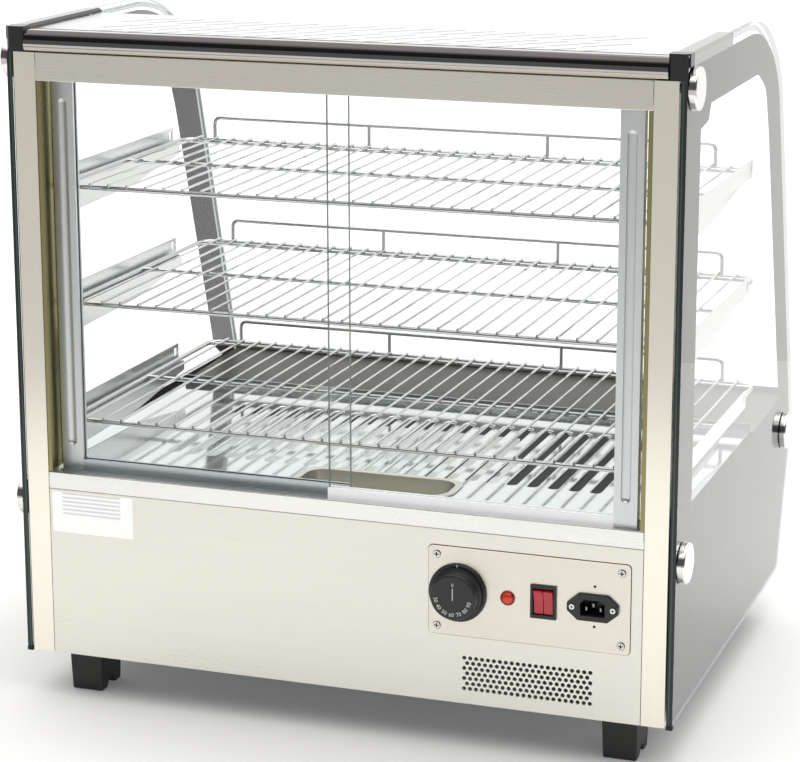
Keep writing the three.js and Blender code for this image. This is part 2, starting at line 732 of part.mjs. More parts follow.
function deck() {
  const edge = 327;
  const back = POST_DEPTH + 3;
  const flangeLow = 172.3; // just above the rim of the base pan
  const lipHeight = 8.5;
  const shape = shapeOf([[-edge, back], [edge, back], [edge, DECK_FRONT], [-edge, DECK_FRONT]]);
  const slotCount = 22;
  const slotPitch = 21.5;
  const slotStart = 107;
  const slotEnd = 315.5;
  const slotShift = 5; // the row of slots lies off the middle
  const half = 5.2;
  for (let i = 0; i < slotCount; i += 1) {
    const x = (i - (slotCount - 1) / 2) * slotPitch + slotShift;
    shape.holes.push(roundedRect([x - half, x + half], [slotStart, slotEnd], half, THREE.Path));
  }
  shape.holes.push(roundedRect(TRAY_X, TRAY_Y, TRAY_CORNER, THREE.Path));
  const plate = alongZ(shape, [DECK_TOP - SHEET, DECK_TOP], 2);
  const flangeZ = [flangeLow, DECK_TOP - 0.5];
  const lipZ = [DECK_TOP - 1, DECK_TOP + lipHeight];
  const flanges = [
    block([-edge, -edge + SHEET], [back, DECK_FRONT], flangeZ),
    block([edge - SHEET, edge], [back, DECK_FRONT], flangeZ),
    block([-edge, edge], [DECK_FRONT - SHEET, DECK_FRONT], lipZ),
  ];
  return piece('deck', join(plate, ...flanges), 'polished');
}

// A dark sheet that rises gently from the deck to the curved glass and turns down behind it.
function frontLedge() {
  const back = DECK_FRONT + GAP;
  const front = 536;
  const frontTop = 196;
  const low = 172.5;
  const shape = shapeOf([
    [back, DECK_TOP - 0.5 - SHEET],
    [front - SHEET, frontTop - SHEET],
    [front - SHEET, low],
    [front, low],
    [front, frontTop],
    [back, DECK_TOP - 0.5],
  ]);
  return piece('front_ledge', alongX(shape, [-INSIDE_X, INSIDE_X]), 'darkSheet');
}

function waterTray() {
  const rim = 5;
  const rearRim = 3.5;
  const sheet = 1.2;
  const depth = 20;
  const low = DECK_TOP + GAP;
  const bottom = DECK_TOP - depth;
  const inset = (by) => roundedRect(
    [TRAY_X[0] + by, TRAY_X[1] - by],
    [TRAY_Y[0] + by, TRAY_Y[1] - by],
    TRAY_CORNER - by,
  );
  const flange = alongZ(
    roundedRect([TRAY_X[0] - rim, TRAY_X[1] + rim], [TRAY_Y[0] - rearRim, TRAY_Y[1] + rim], TRAY_CORNER + 2),
    [low, low + sheet],
  );
  const pan = alongZ(inset(1), [bottom, low + 0.5]);
  const inside = alongZ(inset(1 + sheet), [bottom + sheet, low + 3]);
  return piece('water_tray', cut(join(flange, pan), inside), 'steel');
}

// A sheathed element bent to and fro in one level plane under the deck slots.
function heatingElement() {
  const radius = 4;
  const bend = 26;
  const runs = 4;
  const ends = [-250, 60];
  const z = 158;
  const firstY = 120;
  const point = (x, y) => new THREE.Vector3(x, y, z);
  const path = new THREE.CurvePath();
  for (let run = 0; run < runs; run += 1) {
    const y = firstY + run * 2 * bend;
    const from = ends[run % 2];
    const to = ends[(run + 1) % 2];
    path.add(new THREE.LineCurve3(point(from, y), point(to, y)));
    if (run < runs - 1) {
      const out = to + Math.sign(to - from) * bend * 1.33;
      const next = y + 2 * bend;
      path.add(new THREE.CubicBezierCurve3(point(to, y), point(out, y), point(out, next), point(to, next)));
    }
  }
  const section = shapeOf(polygonPoints(0, 0, radius, 6));
  const options = { steps: 64, extrudePath: path, bevelEnabled: false };
  return piece('heating_element', new THREE.ExtrudeGeometry(section, options), 'element');
}

// A bright sheet under the element that throws its heat up through the deck.
function reflectorTray() {
  const sheet = 1.2;
  const bottom = 144;
  const rim = 172;
  const rear = 80;
  const front = 342;
  const flare = 11; // how far each wall leans out
  const shape = shapeOf([
    [rear, rim],
    [rear + sheet, rim],
    [rear + flare + 1, bottom + sheet],
    [front - flare - 1, bottom + sheet],
    [front - sheet, rim],
    [front, rim],
    [front - flare, bottom],
    [rear + flare, bottom],
  ]);
  return piece('reflector_tray', alongX(shape, [-290, 84]), 'polished');
}

// A light strip behind the header rail, under the roof plate.
function lamp() {
  const y = [40, 66];
  const z = [622, ROOF_TOP - SHEET - 0.4];
  const half = 280;
  const taper = 4;
  const shape = shapeOf([[y[0], z[1]], [y[1], z[1]], [y[1] - taper, z[0]], [y[0] + taper, z[0]]]);
  return piece('lamp', alongX(shape, [-half, half]), 'lampTube');
}

// ---- controls ------------------------------------------------------------------------------
// The controls stand on a plate screwed over the hole in the rear panel, facing -Y.
const PLATE_Y = [-1.5, -GAP];
const SWITCH_SIZE = { x: 25.8, z: 33.4 };
const INLET_FLANGE = { x: 50.2, z: 26 };
const INLET_BODY = { x: 27, z: 21 };
const SHAFT_RADIUS = 3;
const NECK_RADIUS = 4.6;

function controlPlate() {
  const shape = roundedRect(CONTROL_X, CONTROL_Z, 4);
  const radiusHole = (x, radius) => new THREE.Path(
    polygonPoints(x, CONTROL_AXIS_Z, radius, 16).map(([a, b]) => new THREE.Vector2(a, b)),
  );
  shape.holes.push(radiusHole(THERMOSTAT_X, NECK_RADIUS + 0.4));
  shape.holes.push(radiusHole(LAMP_X, 6));
  shape.holes.push(rectHole(
    [SWITCH_X - SWITCH_SIZE.x / 2 + 2, SWITCH_X + SWITCH_SIZE.x / 2 - 2],
    [CONTROL_AXIS_Z - SWITCH_SIZE.z / 2 + 2.5, CONTROL_AXIS_Z + SWITCH_SIZE.z / 2 - 1.5],
  ));
  const inletHalfX = INLET_BODY.x / 2 + 0.5;
  const inletHalfZ = INLET_BODY.z / 2 + 0.5;
  shape.holes.push(rectHole(
    [INLET_X - inletHalfX, INLET_X + inletHalfX],
    [CONTROL_AXIS_Z - inletHalfZ, CONTROL_AXIS_Z + inletHalfZ],
  ));
  return piece('control_plate', alongY(shape, PLATE_Y), 'steel');
}

// The thermostat sits behind the plate with its shaft through it.
function thermostatBody() {
  const half = 17;
  const body = block(
    [THERMOSTAT_X - half, THERMOSTAT_X + half],
    [3, 33],
    [CONTROL_AXIS_Z - half, CONTROL_AXIS_Z + half],
  );
  const neck = discY(THERMOSTAT_X, [PLATE_Y[0] - 0.5, 4], CONTROL_AXIS_Z, NECK_RADIUS, 16);
  const shaft = discY(THERMOSTAT_X, [-9, 4], CONTROL_AXIS_Z, SHAFT_RADIUS, 16);
  return piece('thermostat_body', join(body, neck, shaft), 'blackPlastic');
}

const BEZEL_FRONT = -5;

function thermostatBezel() {
  const back = PLATE_Y[0] - GAP;
  const radius = 29;
  const ring = discY(THERMOSTAT_X, [BEZEL_FRONT, back], CONTROL_AXIS_Z, radius, 32);
  const bore = discY(THERMOSTAT_X, [BEZEL_FRONT - 1, back + 1], CONTROL_AXIS_Z, NECK_RADIUS + 0.6, 16);
  return piece('thermostat_bezel', cut(ring, bore), 'blackPlastic');
}

// The knob is turned about the shaft: a skirt with the scale and a raised round grip.
function thermostatKnob() {
  const skirt = { radius: 26, front: -9 };
  const grip = { radius: 23, front: -KNOB_PROUD };
  const back = BEZEL_FRONT - GAP;
  const boreEnd = -9.5;
  const profile = [
    [SHAFT_RADIUS + GAP, back],
    [SHAFT_RADIUS + GAP, boreEnd],
    [0, boreEnd],
    [0, grip.front],
    [grip.radius - 1.5, grip.front],
    [grip.radius, grip.front + 1.5],
    [grip.radius, skirt.front],
    [skirt.radius, skirt.front],
    [skirt.radius, back],
    [SHAFT_RADIUS + GAP, back],
  ];
  const points = profile.map(([r, y]) => new THREE.Vector2(r, y));
  const mesh = piece('thermostat_knob', new THREE.LatheGeometry(points, 28), 'blackPlastic');
  mesh.position.set(THERMOSTAT_X, 0, CONTROL_AXIS_Z);
  return mesh;
}

function pilotLamp() {
  const front = PLATE_Y[0] - GAP;
  const lens = 6;
  const ring = 7.6;
  const barrel = 5.6;
  const profile = [
    [0, -5.2],
    [4, -4.6],
    [lens, -3.2],
    [lens, front - 0.8],
    [ring, front - 0.8],
    [ring, front],
    [barrel, front],
    [barrel, 16],
    [0, 16],
  ];
  const points = profile.map(([r, y]) => new THREE.Vector2(r, y));
  const mesh = piece('pilot_lamp', new THREE.LatheGeometry(points, 14), 'lampRed');
  mesh.position.set(LAMP_X, 0, CONTROL_AXIS_Z);
  return mesh;
}

// Two rockers side by side in one frame. A rocker turns about an axle along X.
const ROCKER_AXIS = { y: 3, z: CONTROL_AXIS_Z + 0.2 };
const ROCKER_HALF_HEIGHT = 12.4;
const ROCKER_WIDTH = 9.4;
const ROCKER_TILT = 10; // degrees to either side of level

function switchHousing() {
  const halfX = SWITCH_SIZE.x / 2;
  const halfZ = SWITCH_SIZE.z / 2;
  const front = PLATE_Y[0] - GAP;
  const flange = block(
    [SWITCH_X - halfX, SWITCH_X + halfX],
    [front - 2, front],
    [ROCKER_AXIS.z - halfZ, ROCKER_AXIS.z + halfZ],
  );
  const body = block(
    [SWITCH_X - halfX + 2.4, SWITCH_X + halfX - 2.4],
    [front - 1, 22],
    [ROCKER_AXIS.z - halfZ + 3, ROCKER_AXIS.z + halfZ - 3],
  );
  const well = block(
    [SWITCH_X - ROCKER_WIDTH - 0.8, SWITCH_X + ROCKER_WIDTH + 0.8],
    [front - 3, 12],
    [ROCKER_AXIS.z - ROCKER_HALF_HEIGHT - 0.7, ROCKER_AXIS.z + ROCKER_HALF_HEIGHT + 0.7],
  );
  return piece('switch_housing', cut(join(flange, body), well), 'blackPlastic');
}

// The rest position is "off": the rocker's lower half stands proud.
function rocker(name, x) {
  const half = ROCKER_HALF_HEIGHT;
  const shape = shapeOf([
    [-6.6, -half + 0.6],
    [-5.2, 0],
    [-6.6, half - 0.6],
    [-2, half],
    [3, 4],
    [3, -4],
    [-2, -half],
  ]);
  const mesh = piece(name, alongX(shape, [-ROCKER_WIDTH / 2, ROCKER_WIDTH / 2]), 'redPlastic');
  mesh.position.set(x, ROCKER_AXIS.y, ROCKER_AXIS.z);
  mesh.rotation.x = THREE.MathUtils.degToRad(ROCKER_TILT);
  return mesh;
}

function rockers() {
  return [
    rocker('rocker_heat', SWITCH_X - ROCKER_WIDTH / 2 - 0.2),
    rocker('rocker_light', SWITCH_X + ROCKER_WIDTH / 2 + 0.2),
  ];
}

// A three-pin appliance inlet with a flange that is pointed towards its two screws.
function powerInlet() {
  const front = PLATE_Y[0] - GAP;
  const halfX = INLET_FLANGE.x / 2;
  const halfZ = INLET_FLANGE.z / 2;
  const flange = alongY(shapeOf([
    [-halfX, -5],
    [-halfX + 10, -halfZ],
    [halfX - 10, -halfZ],
    [halfX, -5],
    [halfX, 5],
    [halfX - 10, halfZ],
    [-halfX + 10, halfZ],
    [-halfX, 5],
  ]), [front - 3, front]);
  const bodyX = INLET_BODY.x / 2;
  const bodyZ = INLET_BODY.z / 2;
  const body = block([-bodyX, bodyX], [front - 1, 22], [-bodyZ, bodyZ]);
  const socket = alongY(shapeOf([
    [-12, -8],
    [12, -8],
    [12, 4],
    [8, 8],
    [-8, 8],
    [-12, 4],
  ]), [front - 4, 14]);
  const pin = (x, z) => block([x - 1, x + 1], [front + 1, 15], [z - 2, z + 2]);
  const pins = [pin(-7, -2), pin(7, -2), pin(0, 2)];
  const screwX = 20;
  const screwHoles = [-screwX, screwX].map((x) => discY(x, [front - 4, front + 1], 0, 1.8, 8));
  const shell = cut(join(flange, body), socket, ...screwHoles);
  const mesh = piece('power_inlet', join(shell, ...pins), 'blackPlastic');
  mesh.position.set(INLET_X, 0, CONTROL_AXIS_Z);
  return mesh;
}

// ---- assembly ------------------------------------------------------------------------------
const cabinet = new THREE.Group();
cabinet.add(
  basePan(),
  rearPanel(),
  frontPanel(),
  noseSeal(),
  ...feet(),
  post('left_post', -1),
  post('right_post', 1),
  sillRail(),
  headerRail(),
  lowerTrack(),
  upperTrack(),
  jamb('left_jamb', -1),
  jamb('right_jamb', 1),
  roofPlate(),
  rearTrimBar(),
  sideTrimBar('left_trim_bar', -1),
  sideTrimBar('right_trim_bar', 1),
  cornerCap('left_corner_cap', -1),
  cornerCap('right_corner_cap', 1),
  sideGlass('left_side_glass', -1),
  sideGlass('right_side_glass', 1),
  frontGlass(),
  ...glassCaps(),
  ...DOORS.flatMap(door),
  ...SHELVES.map(shelf),
  ...SHELVES.flatMap((place) => [bracket(place, -1, 'left'), bracket(place, 1, 'right')]),
  deck(),
  frontLedge(),
  waterTray(),
  heatingElement(),
  reflectorTray(),
  lamp(),
  controlPlate(),
  thermostatBody(),
  thermostatBezel(),
  thermostatKnob(),
  pilotLamp(),
  switchHousing(),
  ...rockers(),
  powerInlet(),
);
const foremost = Math.max(...frontLine(0).map(([y]) => y));
cabinet.position.set(0, (KNOB_PROUD - foremost) / 2, FOOT_HEIGHT);

const displayCase = new THREE.Group();
displayCase.add(cabinet);

export default displayCase;
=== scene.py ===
"""Looks of a countertop hot food display case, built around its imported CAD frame.

Sizes in the classes are millimetres in the cabinet's own system: x to the right of a person at
the controls, y from the service face towards the curved customer glass, z up from the underside
of the housing. Form.finish turns them into metres in the frame's system.
"""
import logging
import math
from collections.abc import Callable, Iterable, Sequence
from dataclasses import dataclass
from enum import Enum

import bmesh
import bpy
from mathutils import Matrix, Quaternion, Vector


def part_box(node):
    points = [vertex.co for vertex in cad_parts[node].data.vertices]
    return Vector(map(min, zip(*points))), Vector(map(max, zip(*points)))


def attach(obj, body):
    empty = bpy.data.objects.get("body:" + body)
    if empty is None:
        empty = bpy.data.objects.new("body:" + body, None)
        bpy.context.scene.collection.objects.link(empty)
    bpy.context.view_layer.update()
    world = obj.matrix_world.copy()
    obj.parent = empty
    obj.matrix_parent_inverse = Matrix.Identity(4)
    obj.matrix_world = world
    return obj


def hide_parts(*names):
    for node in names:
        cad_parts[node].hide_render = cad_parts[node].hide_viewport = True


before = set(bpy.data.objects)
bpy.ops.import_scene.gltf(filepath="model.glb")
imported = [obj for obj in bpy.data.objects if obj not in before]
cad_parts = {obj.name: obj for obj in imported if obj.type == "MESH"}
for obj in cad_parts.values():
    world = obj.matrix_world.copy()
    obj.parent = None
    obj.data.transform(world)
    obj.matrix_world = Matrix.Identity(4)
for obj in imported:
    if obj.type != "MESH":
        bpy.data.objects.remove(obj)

LOG = logging.getLogger("display_case")

MM = 0.001
SERVICE_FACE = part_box("left_post")[0].y
HOUSING_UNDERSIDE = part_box("rear_panel")[0].z
CABINET_ORIGIN = Vector((0.0, SERVICE_FACE, HOUSING_UNDERSIDE))
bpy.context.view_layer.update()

Point = tuple[float, float]
Colour = tuple[float, float, float]


def extent(node: str) -> tuple[Vector, Vector]:
    """Give the corners of a CAD node in cabinet millimetres.

    Args:
        node: The CAD node's name.

    Returns:
        The lowest and the highest corner.
    """
    low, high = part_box(node)
    return (low - CABINET_ORIGIN) / MM, (high - CABINET_ORIGIN) / MM


# ---- outlines ------------------------------------------------------------------------------
def circle(a: float, b: float, radius: float, sides: int = 24) -> list[Point]:
    """Give the corners of a regular polygon that stands for a circle.

    Args:
        a: First coordinate of the centre.
        b: Second coordinate of the centre.
        radius: Distance from the centre to a corner.
        sides: How many corners it has.

    Returns:
        The corners in turning order.
    """
    turn = math.tau / sides
    return [(a + radius * math.cos(i * turn), b + radius * math.sin(i * turn)) for i in range(sides)]


def filleted(corners: Sequence[tuple[float, float, float]], steps: int = 6) -> list[Point]:
    """Round the corners of a closed outline with arcs.

    Args:
        corners: Each corner's two coordinates and the radius of its arc, 0 for a sharp one.
        steps: How many straight stretches an arc has.

    Returns:
        The points of the rounded outline.
    """
    points: list[Point] = []
    for index, (a, b, radius) in enumerate(corners):
        here = Vector((a, b))
        if radius == 0:
            points.append((a, b))
            continue
        back = (Vector(corners[index - 1][:2]) - here).normalized()
        on = (Vector(corners[(index + 1) % len(corners)][:2]) - here).normalized()
        half = back.angle(on) / 2
        centre = here + (back + on).normalized() * (radius / math.sin(half))
        start = here + back * (radius / math.tan(half)) - centre
        turn = math.pi - 2 * half
        if back.x * on.y - back.y * on.x > 0:
            turn = -turn
        for step in range(steps + 1):
            angle = turn * step / steps
            cosine, sine = math.cos(angle), math.sin(angle)
            points.append((
                centre.x + start.x * cosine - start.y * sine,
                centre.y + start.x * sine + start.y * cosine,
            ))
    return points


def rounded_rect(a: Point, b: Point, radius: float, steps: int = 6) -> list[Point]:
    """Give a rectangle with round corners.

    Args:
        a: Lowest and highest first coordinate.
        b: Lowest and highest second coordinate.
        radius: Radius of the corners.
        steps: How many straight stretches each corner has.

    Returns:
        The points of the outline.
    """
    corners = [(a[0], b[0]), (a[1], b[0]), (a[1], b[1]), (a[0], b[1])]
    return filleted([(*corner, radius) for corner in corners], steps)


def stadium(a: float, b: Point, radius: float, steps: int = 8) -> list[Point]:
    """Give a slot outline with two half-round ends.

    Args:
        a: First coordinate of the slot's middle line.
        b: Lowest and highest second coordinate.
        radius: Half the slot's width.
        steps: How many straight stretches each end has.

    Returns:
        The points of the outline.
    """
    points: list[Point] = []
    for centre, first in ((b[1] - radius, 0.0), (b[0] + radius, math.pi)):
        for step in range(steps + 1):
            angle = first + math.pi * step / steps
            points.append((a + radius * math.cos(angle), centre + radius * math.sin(angle)))
    return points


def bezier(handles: Sequence[Point], steps: int) -> list[Point]:
    """Give the points of a Bezier curve.

    Args:
        handles: Its start, its control points and its end.
        steps: How many straight stretches stand for it.

    Returns:
        The points, with both ends.
    """
    points = []
    for step in range(steps + 1):
        level = [Vector(handle) for handle in handles]
        while len(level) > 1:
            level = [a.lerp(b, step / steps) for a, b in zip(level, level[1:])]
        points.append((level[0].x, level[0].y))
    return points


@dataclass(frozen=True)
class SideOutline:
    """The front edge of a side glass, in (y, z): toe, nose, slope and round top."""

    toe: Point = (505.0, 16.0)
    nose: Point = (561.0, 170.0)
    slope_top: Point = (443.0, 542.0)
    top_start: float = 276.0
    top: float = 637.5
    nose_steps: int = 8
    top_steps: int = 28

    def points(self, inset: float, nose_up: bool = False) -> list[Point]:
        """Draw the edge, shifted inwards.

        Args:
            inset: How far inside the real edge the line lies.
            nose_up: Leave out everything below the upper end of the nose.

        Returns:
            The points from the toe, or the nose, to the level top edge.
        """
        low = Vector((self.nose[0] - 5, self.nose[1] - 12))
        high = Vector((self.nose[0] - 7, self.nose[1] + 8))
        tip = Vector((self.nose[0] + 5.3, self.nose[1] + 1))
        slope = Vector(self.slope_top)
        handle = slope + (slope - high).normalized() * 48
        over = Vector((self.top_start + 90, self.top))
        end = Vector((self.top_start, self.top))
        spine: list[tuple[Vector, Vector]] = []
        if not nose_up:
            toe = Vector(self.toe)
            spine.append((toe, low - toe))
            for step in range(self.nose_steps):
                t = step / self.nose_steps
                place = low * (1 - t) ** 2 + tip * 2 * t * (1 - t) + high * t * t
                spine.append((place, (tip - low) * (1 - t) + (high - tip) * t))
        spine.append((high, slope - high))
        for step in range(self.top_steps + 1):
            t = step / self.top_steps
            s = 1 - t
            place = slope * s**3 + handle * 3 * s * s * t + over * 3 * s * t * t + end * t**3
            along = (handle - slope) * s * s + (over - handle) * 2 * s * t + (end - over) * t * t
            spine.append((place, along))
        line = []
        for place, along in spine:
            along = along.normalized()
            line.append((place.x - along.y * inset, place.y + along.x * inset))
        return line


OUTLINE = SideOutline()


# ---- forms ---------------------------------------------------------------------------------
class Axis(Enum):
    """A main direction, with the plane of outlines that are swept along it."""

    X = 0
    Y = 1
    Z = 2

    def lift(self, a: float, b: float, along: float) -> Vector:
        """Turn two outline coordinates and a height along the axis into a point."""
        if self is Axis.X:
            return Vector((along, a, b))
        if self is Axis.Y:
            return Vector((a, along, b))
        return Vector((a, b, along))


class Form:
    """A piece under construction, in cabinet millimetres."""

    def __init__(self) -> None:
        """Start with nothing."""
        self.mesh = bmesh.new()
        self.outward = False
        self.flat: set[bmesh.types.BMFace] = set()

    @classmethod
    def of_node(cls, node: str) -> "Form":
        """Start from a copy of a CAD node, with its flat sides in one face each.

        Args:
            node: The CAD node's name.

        Returns:
            The form, whose faces already point outwards.
        """
        form = cls()
        form.outward = True
        form.mesh.from_mesh(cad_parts[node].data)
        bmesh.ops.remove_doubles(form.mesh, verts=form.mesh.verts, dist=2e-6)
        bmesh.ops.translate(form.mesh, vec=-CABINET_ORIGIN, verts=form.mesh.verts)
        bmesh.ops.scale(form.mesh, vec=(1 / MM,) * 3, verts=form.mesh.verts)
        bmesh.ops.dissolve_limit(
            form.mesh, angle_limit=math.radians(0.6), verts=form.mesh.verts, edges=form.mesh.edges
        )
        return form

    def block(self, low: Sequence[float], high: Sequence[float]) -> "Form":
        """Add a box between two corners."""
        middle = (Vector(low) + Vector(high)) / 2
        size = Vector(high) - Vector(low)
        place = Matrix.LocRotScale(middle, None, size)
        bmesh.ops.create_cube(self.mesh, size=1, matrix=place)
        return self

    def prism(
        self,
        axis: Axis,
        outline: Sequence[Point],
        low: float,
        high: float,
        holes: Iterable[Sequence[Point]] = (),
    ) -> "Form":
        """Add an outline with thickness.

        Args:
            axis: The direction of its thickness.
            outline: The outer edge.
            low: Where it starts along the axis.
            high: Where it ends.
            holes: The edges of the openings in it.

        Returns:
            This form.
        """
        edges = []
        rings = []
        for loop in (outline, *holes):
            ring = [self.mesh.verts.new(axis.lift(a, b, low)) for a, b in loop]
            rings.append(ring)
            edges += [self.mesh.edges.new((ring[i - 1], ring[i])) for i in range(len(ring))]
        if len(rings) == 1:
            faces = [self.mesh.faces.new(rings[0])]
        else:
            filled = bmesh.ops.triangle_fill(self.mesh, edges=edges, use_beauty=True)
            faces = [item for item in filled["geom"] if isinstance(item, bmesh.types.BMFace)]
        grown = bmesh.ops.extrude_face_region(self.mesh, geom=faces)["geom"]
        moved = [item for item in grown if isinstance(item, bmesh.types.BMVert)]
        bmesh.ops.translate(self.mesh, vec=axis.lift(0, 0, high - low), verts=moved)
        return self

    def lathe(
        self, axis: Axis, centre: Sequence[float], profile: Sequence[Point], steps: int = 48
    ) -> "Form":
        """Add a round form.

        Args:
            axis: The direction of its axis.
            centre: A point on the axis, from which the profile's heights count.
            profile: Radius and height of each point of the section.
            steps: How many sides the round form has.

        Returns:
            This form.
        """
        middle = Vector(centre)
        verts = [self.mesh.verts.new(middle + axis.lift(r, 0, along)) for r, along in profile]
        edges = [self.mesh.edges.new(pair) for pair in zip(verts, verts[1:])]
        spun = bmesh.ops.spin(
            self.mesh,
            geom=verts + edges,
            cent=middle,
            axis=axis.lift(0, 0, 1),
            angle=math.tau,
            steps=steps,
            use_merge=True,
        )
        del spun
        bmesh.ops.remove_doubles(self.mesh, verts=self.mesh.verts, dist=1e-3)
        return self

    def rod(self, points: Sequence[Sequence[float]], radius: float, sides: int = 8, closed: bool = False) -> "Form":
        """Add a round rod that follows a line.

        Args:
            points: The points of the line.
            radius: The rod's radius.
            sides: How many sides its section has.
            closed: Whether the line comes back to its first point.

        Returns:
            This form.
        """
        line = [Vector(point) for point in points]
        if closed:
            line.append(line[0].copy())
        legs = [(b - a).normalized() for a, b in zip(line, line[1:])]
        first = (legs[-1] + legs[0]).normalized() if closed else legs[0]
        last = first if closed else legs[-1]
        ways = [first, *((a + b).normalized() for a, b in zip(legs, legs[1:])), last]
        place = Matrix.Translation(line[0]) @ ways[0].to_track_quat("Z", "Y").to_matrix().to_4x4()
        ring = bmesh.ops.create_circle(self.mesh, radius=radius, segments=sides, matrix=place)["verts"]
        edges = list({edge for vert in ring for edge in vert.link_edges})
        start = list(edges)
        for index in range(1, len(line)):
            grown = bmesh.ops.extrude_edge_only(self.mesh, edges=edges)["geom"]
            ring = [item for item in grown if isinstance(item, bmesh.types.BMVert)]
            edges = [item for item in grown if isinstance(item, bmesh.types.BMEdge)]
            edges = [edge for edge in edges if all(vert in ring for vert in edge.verts)]
            bmesh.ops.translate(self.mesh, vec=line[index] - line[index - 1], verts=ring)
            turn: Quaternion = ways[index - 1].rotation_difference(ways[index])
            bmesh.ops.rotate(self.mesh, cent=line[index], matrix=turn.to_matrix(), verts=ring)
        if closed:
            ends = {vert for edge in start + edges for vert in edge.verts}
            bmesh.ops.remove_doubles(self.mesh, verts=list(ends), dist=radius / 20)
        else:
            for rim in (start, edges):
                bmesh.ops.contextual_create(self.mesh, geom=rim)
        return self

    def skin(self, loops: Sequence[Sequence[Sequence[float]]], cap: bool = False) -> "Form":
        """Join closed loops of equal length, one after another, with a surface.

        Args:
            loops: The loops, each a list of points.
            cap: Whether the first and the last loop are closed with a face.

        Returns:
            This form.
        """
        rings = []
        for loop in loops:
            ring = [self.mesh.verts.new(point) for point in loop]
            rings.append([self.mesh.edges.new((ring[i - 1], ring[i])) for i in range(len(ring))])
        for near, far in zip(rings, rings[1:]):
            bmesh.ops.bridge_loops(self.mesh, edges=near + far)
        if cap:
            for rim in (rings[0], rings[-1]):
                bmesh.ops.contextual_create(self.mesh, geom=rim)
        return self

    def text(self, body: str, size: float, centre: Sequence[float], turn: float = 0.0) -> "Form":
        """Add flat characters that face the service side.

        Args:
            body: The characters.
            size: Their height.
            centre: The middle of their front face.
            turn: How far they are turned clockwise, in radians.

        Returns:
            This form.
        """
        curve = bpy.data.curves.new("characters", type="FONT")
        curve.body = body
        curve.size = size
        curve.align_x = "CENTER"
        curve.align_y = "CENTER"
        curve.extrude = 0.06
        curve.resolution_u = 2
        holder = bpy.data.objects.new("characters", curve)
        flat = bpy.data.meshes.new_from_object(holder)
        known = set(self.mesh.verts)
        self.mesh.from_mesh(flat)
        made = [vert for vert in self.mesh.verts if vert not in known]
        stand = Matrix.Rotation(turn, 4, "Y") @ Matrix.Rotation(math.pi / 2, 4, "X")
        bmesh.ops.transform(self.mesh, matrix=Matrix.Translation(Vector(centre)) @ stand, verts=made)
        bpy.data.objects.remove(holder)
        bpy.data.curves.remove(curve)
        bpy.data.meshes.remove(flat)
        return self

    def soften(self, width: float, segments: int = 2, least: float = 35.0) -> "Form":
        """Round the edges.

        Args:
            width: How wide each rounding is.
            segments: How many faces each rounding has.
            least: Edges that bend less than this many degrees stay.

        Returns:
            This form.
        """
        if not self.outward:
            bmesh.ops.recalc_face_normals(self.mesh, faces=self.mesh.faces)
        limit = math.radians(least)
        sharp = [e for e in self.mesh.edges if e.is_manifold and e.calc_face_angle() > limit]
        rounded = bmesh.ops.bevel(
            self.mesh,
            geom=sharp,
            offset=width,
            offset_type="OFFSET",
            segments=segments,
            profile=0.5,
            affect="EDGES",
            clamp_overlap=True,
            material=-1,
        )
        new = set(rounded["faces"])
        for face in set(self.mesh.faces) - new:
            others = {other for edge in face.edges for other in edge.link_faces} - {face}
            if others <= new:
                self.flat.add(face)
        return self

    def paint(self, index: int, chosen: Callable[[bmesh.types.BMFace], bool]) -> "Form":
        """Give the chosen faces another one of the piece's finishes.

        Args:
            index: Which finish, counted from 0.
            chosen: Says of a face whether it gets it.

        Returns:
            This form.
        """
        if self.outward:
            self.mesh.normal_update()
        else:
            bmesh.ops.recalc_face_normals(self.mesh, faces=self.mesh.faces)
        for face in self.mesh.faces:
            if chosen(face):
                face.material_index = index
        return self

    def finish(
        self,
        name: str,
        finishes: "Finish | Sequence[Finish]",
        body: str,
        slot: str,
        replaces: Sequence[str] = (),
        smooth: float = 40.0,
    ) -> bpy.types.Object:
        """Make the form an object that rides on a body.

        Args:
            name: The piece's name.
            finishes: What it is dressed in.
            body: The CAD body that carries it.
            slot: The record's material slot; not used.
            replaces: The CAD nodes that it stands for.
            smooth: Edges that bend more than this many degrees stay crisp.

        Returns:
            The finished object.
        """
        if not self.outward:
            bmesh.ops.recalc_face_normals(self.mesh, faces=self.mesh.faces)
        limit = math.radians(smooth)
        for edge in self.mesh.edges:
            edge.smooth = edge.is_manifold and edge.calc_face_angle() < limit
        for face in self.mesh.faces:
            face.smooth = face not in self.flat
        bmesh.ops.scale(self.mesh, vec=(MM,) * 3, verts=self.mesh.verts)
        bmesh.ops.translate(self.mesh, vec=CABINET_ORIGIN, verts=self.mesh.verts)
        data = bpy.data.meshes.new(name)
        self.mesh.to_mesh(data)
        self.mesh.free()
        for finish in finishes if isinstance(finishes, Sequence) else [finishes]:
            data.materials.append(finish.material())
        piece = bpy.data.objects.new(name, data)
        bpy.context.scene.collection.objects.link(piece)
        evened = piece.modifiers.new("even_normals", "WEIGHTED_NORMAL")
        evened.keep_sharp = True
        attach(piece, body)
        if replaces:
            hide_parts(*replaces)
        LOG.info("%s: %d faces on %s", name, len(data.polygons), body)
        return piece


